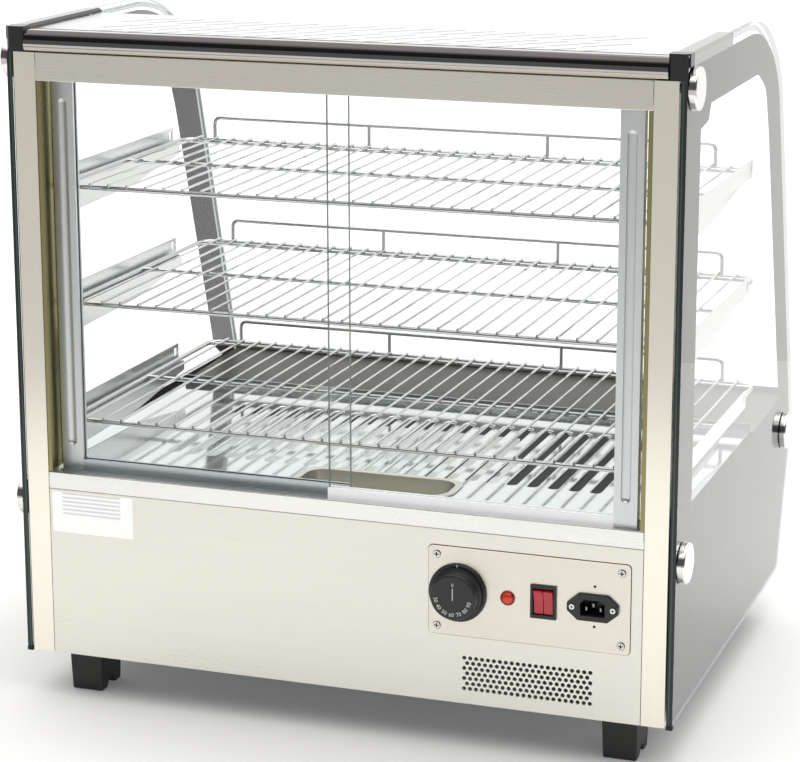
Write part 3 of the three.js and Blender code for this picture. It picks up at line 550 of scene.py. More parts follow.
# ---- shader kit ----------------------------------------------------------------------------
class Value:
    """A shader socket that takes part in Python arithmetic."""

    def __init__(self, graph: "Graph", socket: bpy.types.NodeSocket) -> None:
        """Wrap a socket of a graph."""
        self.graph = graph
        self.socket = socket

    def _math(self, operation: str, first: object, second: object) -> "Value":
        """Add a Math node on two values or numbers."""
        return self.graph.node("ShaderNodeMath", {"operation": operation}, {0: first, 1: second})

    def __add__(self, other: object) -> "Value":
        """Add."""
        return self._math("ADD", self, other)

    __radd__ = __add__

    def __sub__(self, other: object) -> "Value":
        """Subtract."""
        return self._math("SUBTRACT", self, other)

    def __rsub__(self, other: object) -> "Value":
        """Subtract from a number."""
        return self._math("SUBTRACT", other, self)

    def __mul__(self, other: object) -> "Value":
        """Multiply."""
        return self._math("MULTIPLY", self, other)

    __rmul__ = __mul__

    def __pow__(self, other: object) -> "Value":
        """Raise to a power."""
        return self._math("POWER", self, other)


class Graph:
    """A node tree under construction."""

    def __init__(self, tree: bpy.types.NodeTree) -> None:
        """Start with an empty tree."""
        self.tree = tree
        tree.nodes.clear()

    def node(
        self,
        kind: str,
        settings: dict[str, object] | None = None,
        values: dict[str | int, object] | None = None,
        out: str | int = 0,
    ) -> Value:
        """Add a node.

        Args:
            kind: The node's type.
            settings: Its properties; "stops" holds a ramp's places and colours.
            values: A value, a number or a colour for each input socket that is set.
            out: Which output is wanted.

        Returns:
            That output.
        """
        made = self.tree.nodes.new(kind)
        for key, setting in (settings or {}).items():
            if key == "stops":
                self._set_stops(made.color_ramp, setting)
            else:
                setattr(made, key, setting)
        for key, value in (values or {}).items():
            if isinstance(value, Value):
                self.tree.links.new(value.socket, made.inputs[key])
            else:
                made.inputs[key].default_value = value
        return Value(self, made.outputs[out] if len(made.outputs) else None)

    @staticmethod
    def _set_stops(ramp: bpy.types.ColorRamp, stops: Sequence[tuple[float, Colour]]) -> None:
        """Give a colour ramp its stops."""
        while len(ramp.elements) < len(stops):
            ramp.elements.new(0.5)
        for element, (place, colour) in zip(ramp.elements, stops):
            element.position = place
            element.color = (*colour, 1.0)

    def axes(self) -> tuple[Value, Value, Value]:
        """Give the place on the piece as three values, in metres in the frame's system."""
        place = self.node("ShaderNodeTexCoord", out="Object")
        parts = self.node("ShaderNodeSeparateXYZ", values={0: place})
        outputs = parts.socket.node.outputs
        return Value(self, outputs[0]), Value(self, outputs[1]), Value(self, outputs[2])

    def noise(self, scale: Sequence[float], detail: float = 2.0) -> Value:
        """Give a smooth random pattern.

        Args:
            scale: How many changes it has in a metre along x, y and z.
            detail: How many finer layers it has.

        Returns:
            A value around 0.5.
        """
        place = self.node("ShaderNodeTexCoord", out="Object")
        grid = self.node("ShaderNodeMapping", values={"Vector": place, "Scale": tuple(scale)})
        return self.node("ShaderNodeTexNoise", values={"Vector": grid, "Scale": 1.0, "Detail": detail})

    def shade(self, colour: Colour, amount: Value) -> Value:
        """Darken or lighten a colour by a value around 1."""
        settings = {"data_type": "RGBA", "blend_type": "MULTIPLY"}
        return self.node("ShaderNodeMix", settings, {0: 1.0, 6: (*colour, 1.0), 7: amount}, out=2)

    def blend(self, first: "Value | Colour", second: "Value | Colour", share: Value) -> Value:
        """Go from one colour to another by a value between 0 and 1."""
        colours = [item if isinstance(item, Value) else (*item, 1.0) for item in (first, second)]
        values = {0: share, 6: colours[0], 7: colours[1]}
        return self.node("ShaderNodeMix", {"data_type": "RGBA"}, values, out=2)

    def ease(self, amount: Value, low: float, high: float, start: float = 0.0, end: float = 1.0) -> Value:
        """Go smoothly from start to end while a value goes from low to high."""
        values = {"Value": amount, "From Min": low, "From Max": high, "To Min": start, "To Max": end}
        return self.node("ShaderNodeMapRange", {"interpolation_type": "SMOOTHSTEP"}, values)

    def bump(self, height: Value, depth: float, strength: float = 1.0) -> Value:
        """Turn a height pattern into a normal, depth metres high."""
        return self.node("ShaderNodeBump", values={"Height": height, "Distance": depth, "Strength": strength})

    def principled(self, values: dict[str | int, object]) -> Value:
        """Add the general surface shader."""
        return self.node("ShaderNodeBsdfPrincipled", values=values)


# ---- finishes ------------------------------------------------------------------------------
class Grain(Enum):
    """The direction in which a metal surface was brushed."""

    ACROSS = 0
    DEEP = 1
    UPRIGHT = 2

    def scale(self, along: float, across: float) -> list[float]:
        """Give a pattern's changes in a metre along x, y and z."""
        changes = [across] * 3
        changes[self.value] = along
        return changes


@dataclass(frozen=True)
class Finish:
    """What a piece is dressed in."""

    name: str

    def surface(self, graph: Graph) -> Value:
        """Build the surface shader in a graph."""
        raise NotImplementedError

    def material(self) -> bpy.types.Material:
        """Give the finish's material, made on its first use."""
        title = f"{self.name}_finish"
        known = bpy.data.materials.get(title)
        if known is not None:
            return known
        made = bpy.data.materials.new(title)
        made.use_nodes = True
        graph = Graph(made.node_tree)
        graph.node("ShaderNodeOutputMaterial", values={"Surface": self.surface(graph)})
        return made


@dataclass(frozen=True)
class Brushed(Finish):
    """Metal with a fine brushed grain and faint clouds."""

    colour: Colour = (0.80, 0.78, 0.71)
    roughness: float = 0.30
    grain: Grain = Grain.ACROSS
    streak: float = 0.05
    cloud: float = 0.10

    def surface(self, graph: Graph) -> Value:
        """Build the surface shader in a graph."""
        fine = graph.noise(self.grain.scale(5.0, 800.0), detail=1.0) - 0.5
        broad = graph.noise(self.grain.scale(1.6, 60.0), detail=2.0) - 0.5
        cloud = graph.noise(self.grain.scale(5.0, 9.0), detail=3.0) - 0.5
        amount = 1.0 + (fine * 0.4 + broad) * self.streak + cloud * self.cloud
        return graph.principled({
            "Base Color": graph.shade(self.colour, amount),
            "Metallic": 1.0,
            "Roughness": self.roughness + fine * 0.06 + cloud * 0.16,
            "Normal": graph.bump(fine, 0.000005),
        })


@dataclass(frozen=True)
class Mirror(Finish):
    """Polished metal with faint smears."""

    colour: Colour = (0.82, 0.82, 0.81)
    roughness: float = 0.05

    def surface(self, graph: Graph) -> Value:
        """Build the surface shader in a graph."""
        smear = graph.noise((14.0, 14.0, 14.0), detail=4.0) - 0.5
        return graph.principled({
            "Base Color": graph.shade(self.colour, 1.0 + smear * 0.06),
            "Metallic": 1.0,
            "Roughness": graph.ease(smear, -0.1, 0.3, self.roughness, self.roughness + 0.03),
        })


@dataclass(frozen=True)
class Moulded(Finish):
    """Plastic or rubber with a fine pebbled skin."""

    colour: Colour = (0.02, 0.02, 0.02)
    roughness: float = 0.4
    pebble: float = 0.00003
    coat: float = 0.0

    def surface(self, graph: Graph) -> Value:
        """Build the surface shader in a graph."""
        fine = graph.noise((1400.0,) * 3, detail=1.0) - 0.5
        wear = graph.noise((45.0,) * 3, detail=3.0) - 0.5
        return graph.principled({
            "Base Color": graph.shade(self.colour, 1.0 + wear * 0.25),
            "Roughness": self.roughness + wear * 0.12 + fine * 0.08,
            "Coat Weight": self.coat,
            "Coat Roughness": 0.06,
            "Normal": graph.bump(fine, self.pebble),
        })


@dataclass(frozen=True)
class ClearPane(Finish):
    """Clear glass that lets light straight through and mirrors more towards its edges of view."""

    tint: Colour = (0.994, 0.998, 0.996)
    roughness: float = 0.0
    shine: float = 0.85

    def surface(self, graph: Graph) -> Value:
        """Build the surface shader in a graph."""
        facing = graph.node("ShaderNodeLayerWeight", values={"Blend": 0.5}, out="Facing")
        film = graph.noise((9.0,) * 3, detail=3.0) - 0.5
        behind = graph.node("ShaderNodeNewGeometry", out="Backfacing")
        mirrored = (0.04 + 0.96 * facing**5 + film * 0.01) * (1.0 - behind) * self.shine
        clear = graph.node("ShaderNodeBsdfTransparent", values={"Color": (*self.tint, 1.0)})
        gloss = graph.principled({
            "Base Color": (1.0, 1.0, 1.0, 1.0),
            "Metallic": 1.0,
            "Roughness": self.roughness,
        })
        return graph.node("ShaderNodeMixShader", values={0: mirrored, 1: clear, 2: gloss})


@dataclass(frozen=True)
class PaneEdge(Finish):
    """The ground edge of a glass sheet in the glass's own dark green, with a thin bright green line that is a
    painted glint.
    """

    colour: Colour = (0.010, 0.018, 0.015)
    bright: Colour = (0.045, 0.13, 0.095)
    # The painted glint's distance from the middle across x, in metres.
    line: float = 0.3350

    def surface(self, graph: Graph) -> Value:
        """Build the surface shader in a graph."""
        depth = graph.noise((30.0, 30.0, 6.0), detail=2.0)
        # Painted glint: a thin bright green line at a set distance from the middle across x.
        across = graph.node("ShaderNodeMath", {"operation": "ABSOLUTE"}, {0: graph.axes()[0]})
        rise = graph.ease(across, self.line - 0.0006, self.line)
        fall = graph.ease(across, self.line, self.line + 0.0016, 1.0, 0.0)
        return graph.principled({
            "Base Color": graph.blend(self.colour, self.bright, rise * fall * (0.5 + depth * 0.6)),
            "Roughness": 0.10 + depth * 0.1,
        })


@dataclass(frozen=True)
class Print(Finish):
    """Ceramic colour fired onto glass."""

    colour: Colour = (0.012, 0.012, 0.014)
    shine: float = 0.5

    def surface(self, graph: Graph) -> Value:
        """Build the surface shader in a graph."""
        haze = graph.noise((9.0,) * 3, detail=3.0)
        return graph.principled({
            "Base Color": graph.shade(self.colour, 0.8 + haze * 0.4),
            "Roughness": 0.08 + haze * 0.04,
            "Specular IOR Level": self.shine,
        })


@dataclass(frozen=True)
class Sticker(Finish):
    """A white plastic sticker with plain grey rules and a faint glow of painted light."""

    left: float = -0.3
    low: float = 0.18

    def surface(self, graph: Graph) -> Value:
        """Build the surface shader in a graph."""
        x, _, z = graph.axes()
        row = graph.node("ShaderNodeMath", {"operation": "FRACT"}, {0: (z - self.low) * 240.0})
        rule = graph.ease(row, 0.50, 0.58)
        inside = graph.ease(x, self.left + 0.006, self.left + 0.0065)
        short = graph.ease(x, self.left + 0.07, self.left + 0.0705, 1.0, 0.0)
        band = graph.ease(z, self.low + 0.012, self.low + 0.0125)
        grain = graph.noise((400.0, 400.0, 400.0))
        ink = rule * inside * short * band * 0.8
        paper = graph.shade((0.86, 0.86, 0.85), 0.97 + grain * 0.06)
        return graph.principled({
            "Base Color": graph.blend(paper, (0.30, 0.30, 0.31), ink),
            "Roughness": 0.35 + grain * 0.1,
            # Painted light: the sticker glows faintly white.
            "Emission Color": (1.0, 1.0, 1.0, 1.0),
            "Emission Strength": 0.4,
        })


@dataclass(frozen=True)
class GlowingFinish(Finish):
    """A tinted, faintly glowing surface: the pilot lamp's lens and ring, and painted light on the outer door rail,
    the heating element and the reflector tray.
    """

    colour: Colour = (0.60, 0.10, 0.04)
    glow: float = 0.05

    def surface(self, graph: Graph) -> Value:
        """Build the surface shader in a graph."""
        cells = graph.noise((500.0,) * 3, detail=1.0)
        return graph.principled({
            "Base Color": graph.shade(self.colour, 0.75 + cells * 0.5),
            "Roughness": 0.18 + cells * 0.1,
            "Coat Weight": 0.5,
            "Emission Color": (*self.colour, 1.0),
            "Emission Strength": self.glow,
        })


@dataclass(frozen=True)
class Paper(Finish):
    """The pale studio floor."""

    colour: Colour = (0.93, 0.93, 0.93)

    def surface(self, graph: Graph) -> Value:
        """Build the surface shader in a graph."""
        tooth = graph.noise((120.0,) * 3, detail=3.0)
        return graph.principled({
            "Base Color": graph.shade(self.colour, 0.99 + tooth * 0.02),
            "Roughness": 0.85,
            "Specular IOR Level": 0.1,
            "Emission Color": (1.0, 1.0, 1.0, 1.0),
            "Emission Strength": 0.1,
        })


PANEL_STEEL = Brushed("panel_steel", colour=(0.79, 0.77, 0.70), cloud=0.14)
POST_STEEL = Brushed("post_steel", colour=(0.86, 0.83, 0.73), roughness=0.2, grain=Grain.UPRIGHT)
SILL_STEEL = Brushed("sill_steel", colour=(0.83, 0.83, 0.80), roughness=0.26)
HEADER_STEEL = Brushed("header_steel", colour=(0.85, 0.82, 0.74), roughness=0.28, streak=0.05)
PLATE_STEEL = Brushed("plate_steel", colour=(0.80, 0.77, 0.69), roughness=0.34)
PAN_STEEL = Brushed("pan_steel", colour=(0.22, 0.23, 0.23), roughness=0.4)
SHEET_STEEL = Brushed("sheet_steel", colour=(0.74, 0.75, 0.75), roughness=0.25, grain=Grain.DEEP)
TRAY_STEEL = Brushed("tray_steel", colour=(0.74, 0.73, 0.66), roughness=0.30)
ROOF_STEEL = Brushed("roof_steel", colour=(0.86, 0.87, 0.88), roughness=0.3, streak=0.03, cloud=0.04)
JAMB_METAL = Brushed("jamb_metal", colour=(0.30, 0.27, 0.13), roughness=0.25, grain=Grain.UPRIGHT, streak=0.4)
DOOR_METAL = Brushed("door_metal", colour=(0.76, 0.79, 0.79), roughness=0.40, grain=Grain.UPRIGHT, streak=0.04)
# The door rails are one aluminium in a lit and a shaded copy: the outer door's rail glows as painted light, the
# inner door's is darkened as painted shade.
RAIL_PAINTED_LIGHT = GlowingFinish("rail_bright", colour=(0.88, 0.89, 0.90), glow=0.26)
RAIL_PAINTED_SHADE = Brushed("rail_painted_shade", colour=(0.58, 0.62, 0.65), roughness=0.3, streak=0.02)
TRACK_METAL = Brushed("track_metal", colour=(0.72, 0.75, 0.76), roughness=0.35)
TRIM_MIRROR = Mirror("trim_mirror", colour=(0.74, 0.73, 0.73))
# Painted reflections for the rear bar: a beige band of floor reflection and a dark band.
TRIM_PAINTED_FLOOR_REFLECTION = Mirror("trim_painted_floor_reflection", colour=(0.46, 0.43, 0.38), roughness=0.1)
TRIM_PAINTED_DARK_REFLECTION = Mirror("trim_painted_dark_reflection", colour=(0.12, 0.11, 0.11), roughness=0.06)
TRIM_GREY = Mirror("trim_grey", colour=(0.36, 0.36, 0.36), roughness=0.12)
CAP_MIRROR = Mirror("cap_mirror", colour=(0.84, 0.83, 0.82), roughness=0.08)
DECK_MIRROR = Mirror("deck_mirror", colour=(0.74, 0.79, 0.79), roughness=0.07)
WIRE_CHROME = Mirror("wire_chrome", colour=(0.62, 0.63, 0.63), roughness=0.1)
SCREW_STEEL = Mirror("screw_steel", colour=(0.70, 0.69, 0.66), roughness=0.2)
LEDGE_ENAMEL = Moulded("ledge_enamel", colour=(0.045, 0.043, 0.038), roughness=0.45)
BLACK_PLASTIC = Moulded("black_plastic", colour=(0.018, 0.018, 0.018), roughness=0.32)
CAP_PLASTIC = Moulded("cap_plastic", colour=(0.012, 0.012, 0.013), roughness=0.12, pebble=0.0)
KNOB_PLASTIC = Moulded("knob_plastic", colour=(0.025, 0.025, 0.027), roughness=0.38)
FOOT_RUBBER = Moulded("foot_rubber", colour=(0.022, 0.021, 0.020), roughness=0.55, pebble=0.00008)
# A dark brown sheet that is painted shadow around the control plate's edge.
PLATE_SHADOW_SHEET = Moulded("plate_shadow_sheet", colour=(0.09, 0.06, 0.04), roughness=0.6)
# Black rubber, also used as painted shade on the floors of the screws' cross recesses.
BLACK_RUBBER_AND_SHADE = Moulded("seal_rubber_and_painted_shade", colour=(0.015, 0.015, 0.015), roughness=0.6)
ROCKER_RED = Moulded("rocker_red", colour=(0.62, 0.015, 0.035), roughness=0.25, coat=0.6, pebble=0.0)
# The heating element's sheath glows pale grey as painted light.
ELEMENT_PAINTED_LIGHT = GlowingFinish("element_sheath", colour=(0.66, 0.68, 0.67), glow=0.38)
# The reflector tray's pale enamel glows as painted light.
REFLECTOR_PAINTED_LIGHT = GlowingFinish("reflector_painted_light", colour=(0.80, 0.82, 0.80), glow=0.45)
LAMP_COVER = Moulded("lamp_cover", colour=(0.85, 0.84, 0.78), roughness=0.4)
DIAL_INK = Moulded("dial_ink", colour=(0.80, 0.80, 0.78), roughness=0.5)
CABINET_PANE = ClearPane("cabinet_pane", shine=1.2)
INNER_PANE = ClearPane("inner_pane", shine=0.45)
CLEAR_EDGE = ClearPane("clear_edge", tint=(0.44, 0.46, 0.455), shine=0.6)
CURVED_PANE = ClearPane("curved_pane_glass", shine=0.35)
DOOR_PANE = ClearPane("door_pane", shine=0.6)
PANE_EDGE = PaneEdge("pane_edge")
DOOR_EDGE = PaneEdge("door_edge", colour=(0.26, 0.30, 0.27))
GLASS_PRINT = Print("glass_print", shine=0.3)
BONDED_PRINT = Print("bonded_print", shine=0.0)
RATING_STICKER = Sticker("rating_sticker")
PILOT_LENS = GlowingFinish("pilot_lens", colour=(0.70, 0.035, 0.012), glow=0.12)
PILOT_RING = GlowingFinish("pilot_ring", colour=(0.36, 0.02, 0.012), glow=0.02)
# A darkened copy of the pin metal, as painted shade inside the socket.
PIN_PAINTED_SHADE_METAL = Mirror("pin_metal_painted_shade", colour=(0.26, 0.25, 0.24), roughness=0.2)
STUDIO_PAPER = Paper("studio_paper")


def dress(node: str, finish: Finish) -> None:
    """Give a CAD node that stays a finish."""
    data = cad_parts[node].data
    data.materials.clear()
    data.materials.append(finish.material())
    LOG.info("%s: kept, dressed in %s", node, finish.name)


def softened(
    node: str,
    finish: Finish,
    width: float,
    slot: str,
    body: str = "cabinet",
    segments: int = 2,
) -> bpy.types.Object:
    """Replace a CAD node by itself with rounded edges.

    Args:
        node: The CAD node's name.
        finish: What it is dressed in.
        width: How wide the rounding is.
        slot: The record's material slot.
        body: The CAD body that carries it.
        segments: How many faces each rounding has.

    Returns:
        The new piece.
    """
    form = Form.of_node(node).soften(width, segments)
    return form.finish(f"{node}_shape", finish, body, slot, replaces=[node])


# ---- sub-assemblies ------------------------------------------------------------------------
@dataclass
class Housing:
    """The steel base with its vented rear panel, its front and its feet."""

    vent_columns: int = 22
    vent_rows: int = 7
    vent_pitch: Point = (6.0, 5.2)
    vent_first: Point = (132.5, 15.6)
    vent_radius: float = 2.1
    seam: float = 0.35
    sticker_x: Point = (-305.0, -216.5)
    sticker_z: Point = (129.8, 171.8)

    def vents(self) -> list[list[Point]]:
        """Give the outlines of the staggered vent holes."""
        holes = []
        for row in range(self.vent_rows):
            shift = 0.5 if row % 2 else 0.0
            for column in range(self.vent_columns - row % 2):
                x = self.vent_first[0] + (column + shift) * self.vent_pitch[0]
                z = self.vent_first[1] + row * self.vent_pitch[1]
                holes.append(circle(x, z, self.vent_radius, 12))
        return holes

    def rear_panel(self) -> None:
        """Make the rear panel with its round vents and the window behind the controls."""
        low, high = extent("rear_panel")
        outline = rounded_rect((low.x + self.seam, high.x - self.seam), (low.z, high.z), 0.5, 1)
        window = rounded_rect((101.4, 282.7), (81.0, 146.0), 2.0, 2)
        form = Form().prism(Axis.Y, outline, low.y, high.y, [window, *self.vents()])
        form.finish("vented_panel", PANEL_STEEL, "cabinet", "steel", replaces=["rear_panel"])

    def sticker(self) -> None:
        """Make the blank rating sticker."""
        outline = rounded_rect(self.sticker_x, self.sticker_z, 1.0, 3)
        form = Form().prism(Axis.Y, outline, -0.22, -0.02)
        form.finish("rating_sticker", RATING_STICKER, "cabinet", "lamp_cover")

    def build(self) -> None:
        """Build and dress the housing."""
        dress("base_pan", PAN_STEEL)
        dress("front_panel", GLASS_PRINT)
        dress("nose_seal", BLACK_RUBBER_AND_SHADE)
        self.rear_panel()
        self.sticker()
        for place in ("rear_left", "rear_right", "front_left", "front_right"):
            softened(f"foot_{place}", FOOT_RUBBER, 1.0, "rubber")


@dataclass
class UprightFrame:
    """The posts, rails, tracks, jambs and shelf brackets."""

    def build(self) -> None:
        """Build and dress the frame."""
        for side in ("left", "right"):
            softened(f"{side}_post", POST_STEEL, 0.8, "steel")
            softened(f"{side}_jamb", JAMB_METAL, 0.3, "jamb_channel")
            for level in ("top", "middle", "bottom"):
                softened(f"{level}_bracket_{side}", SHEET_STEEL, 0.4, "steel")
        softened("sill_rail", SILL_STEEL, 0.7, "steel")
        softened("header_rail", HEADER_STEEL, 0.4, "header")
        softened("lower_track", TRACK_METAL, 0.25, "door_aluminium")
        softened("upper_track", TRACK_METAL, 0.25, "door_aluminium")


@dataclass
class Roof:
    """The vented roof plate with its polished trims and moulded corner caps."""

    slit_pitch: float = 30.5
    slit_count: int = 17
    slit_radius: float = 1.5
    slit_rows: tuple[Point, ...] = ((27.0, 45.0), (56.0, 93.0), (106.0, 147.0))

    def slits(self) -> list[list[Point]]:
        """Give the outlines of the slanting slits."""
        outlines = []
        for low, high in self.slit_rows:
            for index in range(self.slit_count):
                x = (index - (self.slit_count - 1) / 2) * self.slit_pitch
                run = (high - low) / 2
                half = math.hypot(run, run) + self.slit_radius
                upright = stadium(0.0, (-half, half), self.slit_radius, 4)
                turn = math.sqrt(0.5)
                middle = (low + high) / 2
                outlines.append([
                    (x + turn * (a + b), middle + turn * (b - a)) for a, b in upright
                ])
        return outlines

    def plate(self) -> None:
        """Make the roof plate."""
        low, high = extent("roof_plate")
        outline = rounded_rect((low.x, high.x), (low.y, high.y), 1.0, 2)
        form = Form().prism(Axis.Z, outline, high.z - 1.5, high.z, self.slits())
        form.block((-305, low.y, low.z), (305, low.y + 1.5, high.z - 1.5))
        form.finish("slit_roof", ROOF_STEEL, "cabinet", "steel", replaces=["roof_plate"])

    def rear_bar(self) -> None:
        """Make the rear bar with its rounded outer face and its painted reflection bands."""
        low, high = extent("rear_trim_bar")
        nose = (0.2, low.z + 7.7)
        shoulder = (9.5, high.z)
        outline = [
            (high.y, low.z),
            (high.y, high.z),
            *bezier([shoulder, (4.5, high.z - 0.6), (1.6, nose[1] + 9.0), nose], 20),
            *bezier([nose, (0.1, nose[1] - 5.0), (2.8, low.z)], 8)[1:],
        ]
        form = Form().prism(Axis.X, outline, low.x, high.x)
        # Painted reflections by face direction: downward faces get the beige floor reflection, upward slanting
        # faces the dark band.
        form.paint(1, lambda face: face.normal.z < -0.12)
        form.paint(2, lambda face: 0.25 < face.normal.z < 0.93)
        form.finish("rounded_bar", [TRIM_MIRROR, TRIM_PAINTED_FLOOR_REFLECTION, TRIM_PAINTED_DARK_REFLECTION], "cabinet", "polished",
                    replaces=["rear_trim_bar"])

    def side_trim(self, side: str) -> None:
        """Make a side trim bar with its black seal against the roof."""
        sign = 1 if side == "right" else -1
        form = Form.of_node(f"{side}_trim_bar").soften(0.6, 3)
        form.paint(1, lambda face: face.normal.x * sign < -0.3)
        form.finish(f"{side}_trim_shape", [TRIM_GREY, CAP_PLASTIC], "cabinet", "polished",
                    replaces=[f"{side}_trim_bar"])

    def seal(self) -> None:
        """Lay the thin dark seal between the rear bar and the roof."""
        low, high = extent("rear_trim_bar")
        form = Form().block((low.x, high.y - 2.6, high.z - 0.4), (high.x, high.y - 0.2, high.z + 0.15))
        form.finish("roof_seal", BLACK_RUBBER_AND_SHADE, "cabinet", "rubber")

    def build(self) -> None:
        """Build and dress the roof."""
        self.plate()
        self.seal()
        self.rear_bar()
        for side in ("left", "right"):
            self.side_trim(side)
            softened(f"{side}_corner_cap", CAP_PLASTIC, 2.6, "black_plastic", segments=3)


@dataclass
class CabinetGlass:
    """The side glasses with their printed border, the curved glass and the screwed caps."""

    print_thickness: float = 0.2
    right_depth: float = 4.4
    left_depth: float = 0.1
    window: tuple[tuple[float, float, float], ...] = (
        (63.9, 197.0, 3.0),
        (63.9, 563.0, 4.0),
        (95.0, 566.0, 12.0),
        (105.0, 581.6, 5.0),
        (318.0, 581.6, 50.0),
        (358.0, 562.0, 34.0),
        (380.2, 510.6, 90.0),
        (476.0, 212.0, 20.0),
        (500.0, 196.0, 0.0),
    )

    def side_pane(self, side: str) -> None:
        """Make a side glass with ground edges."""
        low, high = extent(f"{side}_side_glass")
        outline = [
            (3.0, high.z),
            (3.0, 614.5),
            (0.6, 614.5),
            (0.6, 3.0),
            (490.0, 3.0),
            (500.0, 6.0),
            *OUTLINE.points(0.0),
        ]
        holes = [circle(y, z, 4.6, 16) for y, z in ((21, 606), (21, 159), (498, 164))]
        form = Form().prism(Axis.X, outline, low.x, high.x, holes)
        form.paint(1, lambda face: abs(face.normal.x) < 0.9)
        # The rear edge gets the edge finish with its painted glint.
        form.paint(2, lambda face: face.normal.y < -0.9)
        sign = 1 if side == "right" else -1
        form.paint(3, lambda face: face.normal.x * sign < -0.9)
        finishes = [CABINET_PANE, CLEAR_EDGE, PANE_EDGE, INNER_PANE]
        name = f"{side}_pane"
        form.finish(name, finishes, "cabinet", "clear_glass", replaces=[f"{side}_side_glass"])
        shoe = Form().block((low.x - 0.4, -0.6, -1.8), (high.x + 0.4, 6.0, 2.9)).soften(1.2, 3)
        shoe.finish(f"{side}_glass_shoe", BLACK_RUBBER_AND_SHADE, "cabinet", "rubber")

    def side_print(self, side: str) -> None:
        """Make the black border, fired between the two layers of a side glass."""
        low, high = extent(f"{side}_side_glass")
        if side == "right":
            near = low.x + self.right_depth
        else:
            near = high.x - self.left_depth - self.print_thickness
        far = near + self.print_thickness
        outer = [
            (2.0, 634.5),
            (2.0, 5.0),
            (490.0, 5.0),
            (498.0, 8.0),
            *OUTLINE.points(4.0)[:2],
            *OUTLINE.points(12.0, nose_up=True),
            (180.0, 625.5),
            (172.0, 634.5),
        ]
        sign = 1 if side == "right" else -1
        form = Form().prism(Axis.X, outer, near, far, [filleted(self.window)])
        form.paint(1, lambda face: face.normal.x * sign > 0.9)
        finishes = [GLASS_PRINT, BONDED_PRINT]
        form.finish(f"{side}_glass_border", finishes, "cabinet", "black_glass")

    def curved_pane(self) -> None:
        """Make the curved glass with its ground edges."""
        low, high = extent("front_glass")
        outer = OUTLINE.points(3.0, nose_up=True)
        inner = OUTLINE.points(9.0, nose_up=True)
        outer[0] = (outer[0][0] - 0.6, low.z)
        inner[0] = (inner[0][0] - 0.6, low.z)
        edge = low.y
        outline = [*outer, (edge, outer[-1][1]), (edge, inner[-1][1]), *reversed(inner)]
        form = Form().prism(Axis.X, outline, low.x, high.x)
        form.paint(1, lambda face: self.is_rim(face, low))
        finishes = [CURVED_PANE, CLEAR_EDGE]
        form.finish("curved_pane", finishes, "cabinet", "clear_glass", replaces=["front_glass"])

    @staticmethod
    def is_rim(face: bmesh.types.BMFace, low: Vector) -> bool:
        """Tell whether a face of the curved glass belongs to its ground edge."""
        middle = face.calc_center_median()
        return abs(face.normal.x) > 0.9 or middle.z < low.z + 2 or middle.y < low.y + 0.1

    def curved_print(self) -> None:
        """Make the black strip along the lower edge of the curved glass."""
        low, high = extent("front_glass")
        foot, shoulder = OUTLINE.points(9.15, nose_up=True)[:2]
        back_foot, back_shoulder = OUTLINE.points(9.4, nose_up=True)[:2]
        share = (202.0 - foot[1]) / (shoulder[1] - foot[1])
        upper = (foot[0] + (shoulder[0] - foot[0]) * share, 202.0)
        back_upper = (back_foot[0] + (back_shoulder[0] - back_foot[0]) * share, 202.0)
        outline = [foot, upper, back_upper, back_foot]
        form = Form().prism(Axis.X, outline, low.x + 1, high.x - 1)
        form.finish("curved_glass_border", GLASS_PRINT, "cabinet", "black_glass")

    @staticmethod
    def grooves(radius: float, outer: float) -> list[Point]:
        """Give the profile of the three ring grooves in a cap's rim."""
        shape = ((0.0, 0.0), (0.5, 0.25), (0.5, 0.6), (0.0, 0.85))
        return [
            (radius - deep, outer - 2.6 - ring * 1.6 - drop)
            for ring in range(3)
            for deep, drop in shape
        ]

    def cap(self, name: str) -> None:
        """Make one of the polished caps that are screwed through a side glass."""
        low, high = extent(name)
        sign = 1 if name.endswith("right") else -1
        centre = (0.0, (low.y + high.y) / 2, (low.z + high.z) / 2)
        inner, outer = (low.x, high.x) if sign > 0 else (-high.x, -low.x)
        radius = (high.z - low.z) / 2
        face = outer - 8
        profile = [
            (0.0, outer),
            (radius - 2.4, outer),
            (radius - 1.2, outer - 0.3),
            (radius - 0.3, outer - 1.0),
            (radius, outer - 1.9),
            *self.grooves(radius, outer),
            (radius, face + 0.3),
            (radius - 0.3, face),
            (4.0, face),
            (4.0, inner),
            (0.0, inner),
        ]
        form = Form().lathe(Axis.X, centre, [(r, sign * h) for r, h in profile], 64)
        form.finish(f"{name}_turned", CAP_MIRROR, "cabinet", "polished", replaces=[name], smooth=50)

    def build(self) -> None:
        """Build and dress the glass."""
        for side in ("left", "right"):
            self.side_pane(side)
            self.side_print(side)
            for place in ("rear_top", "rear_low", "front"):
                self.cap(f"glass_cap_{place}_{side}")
        self.curved_pane()
        self.curved_print()


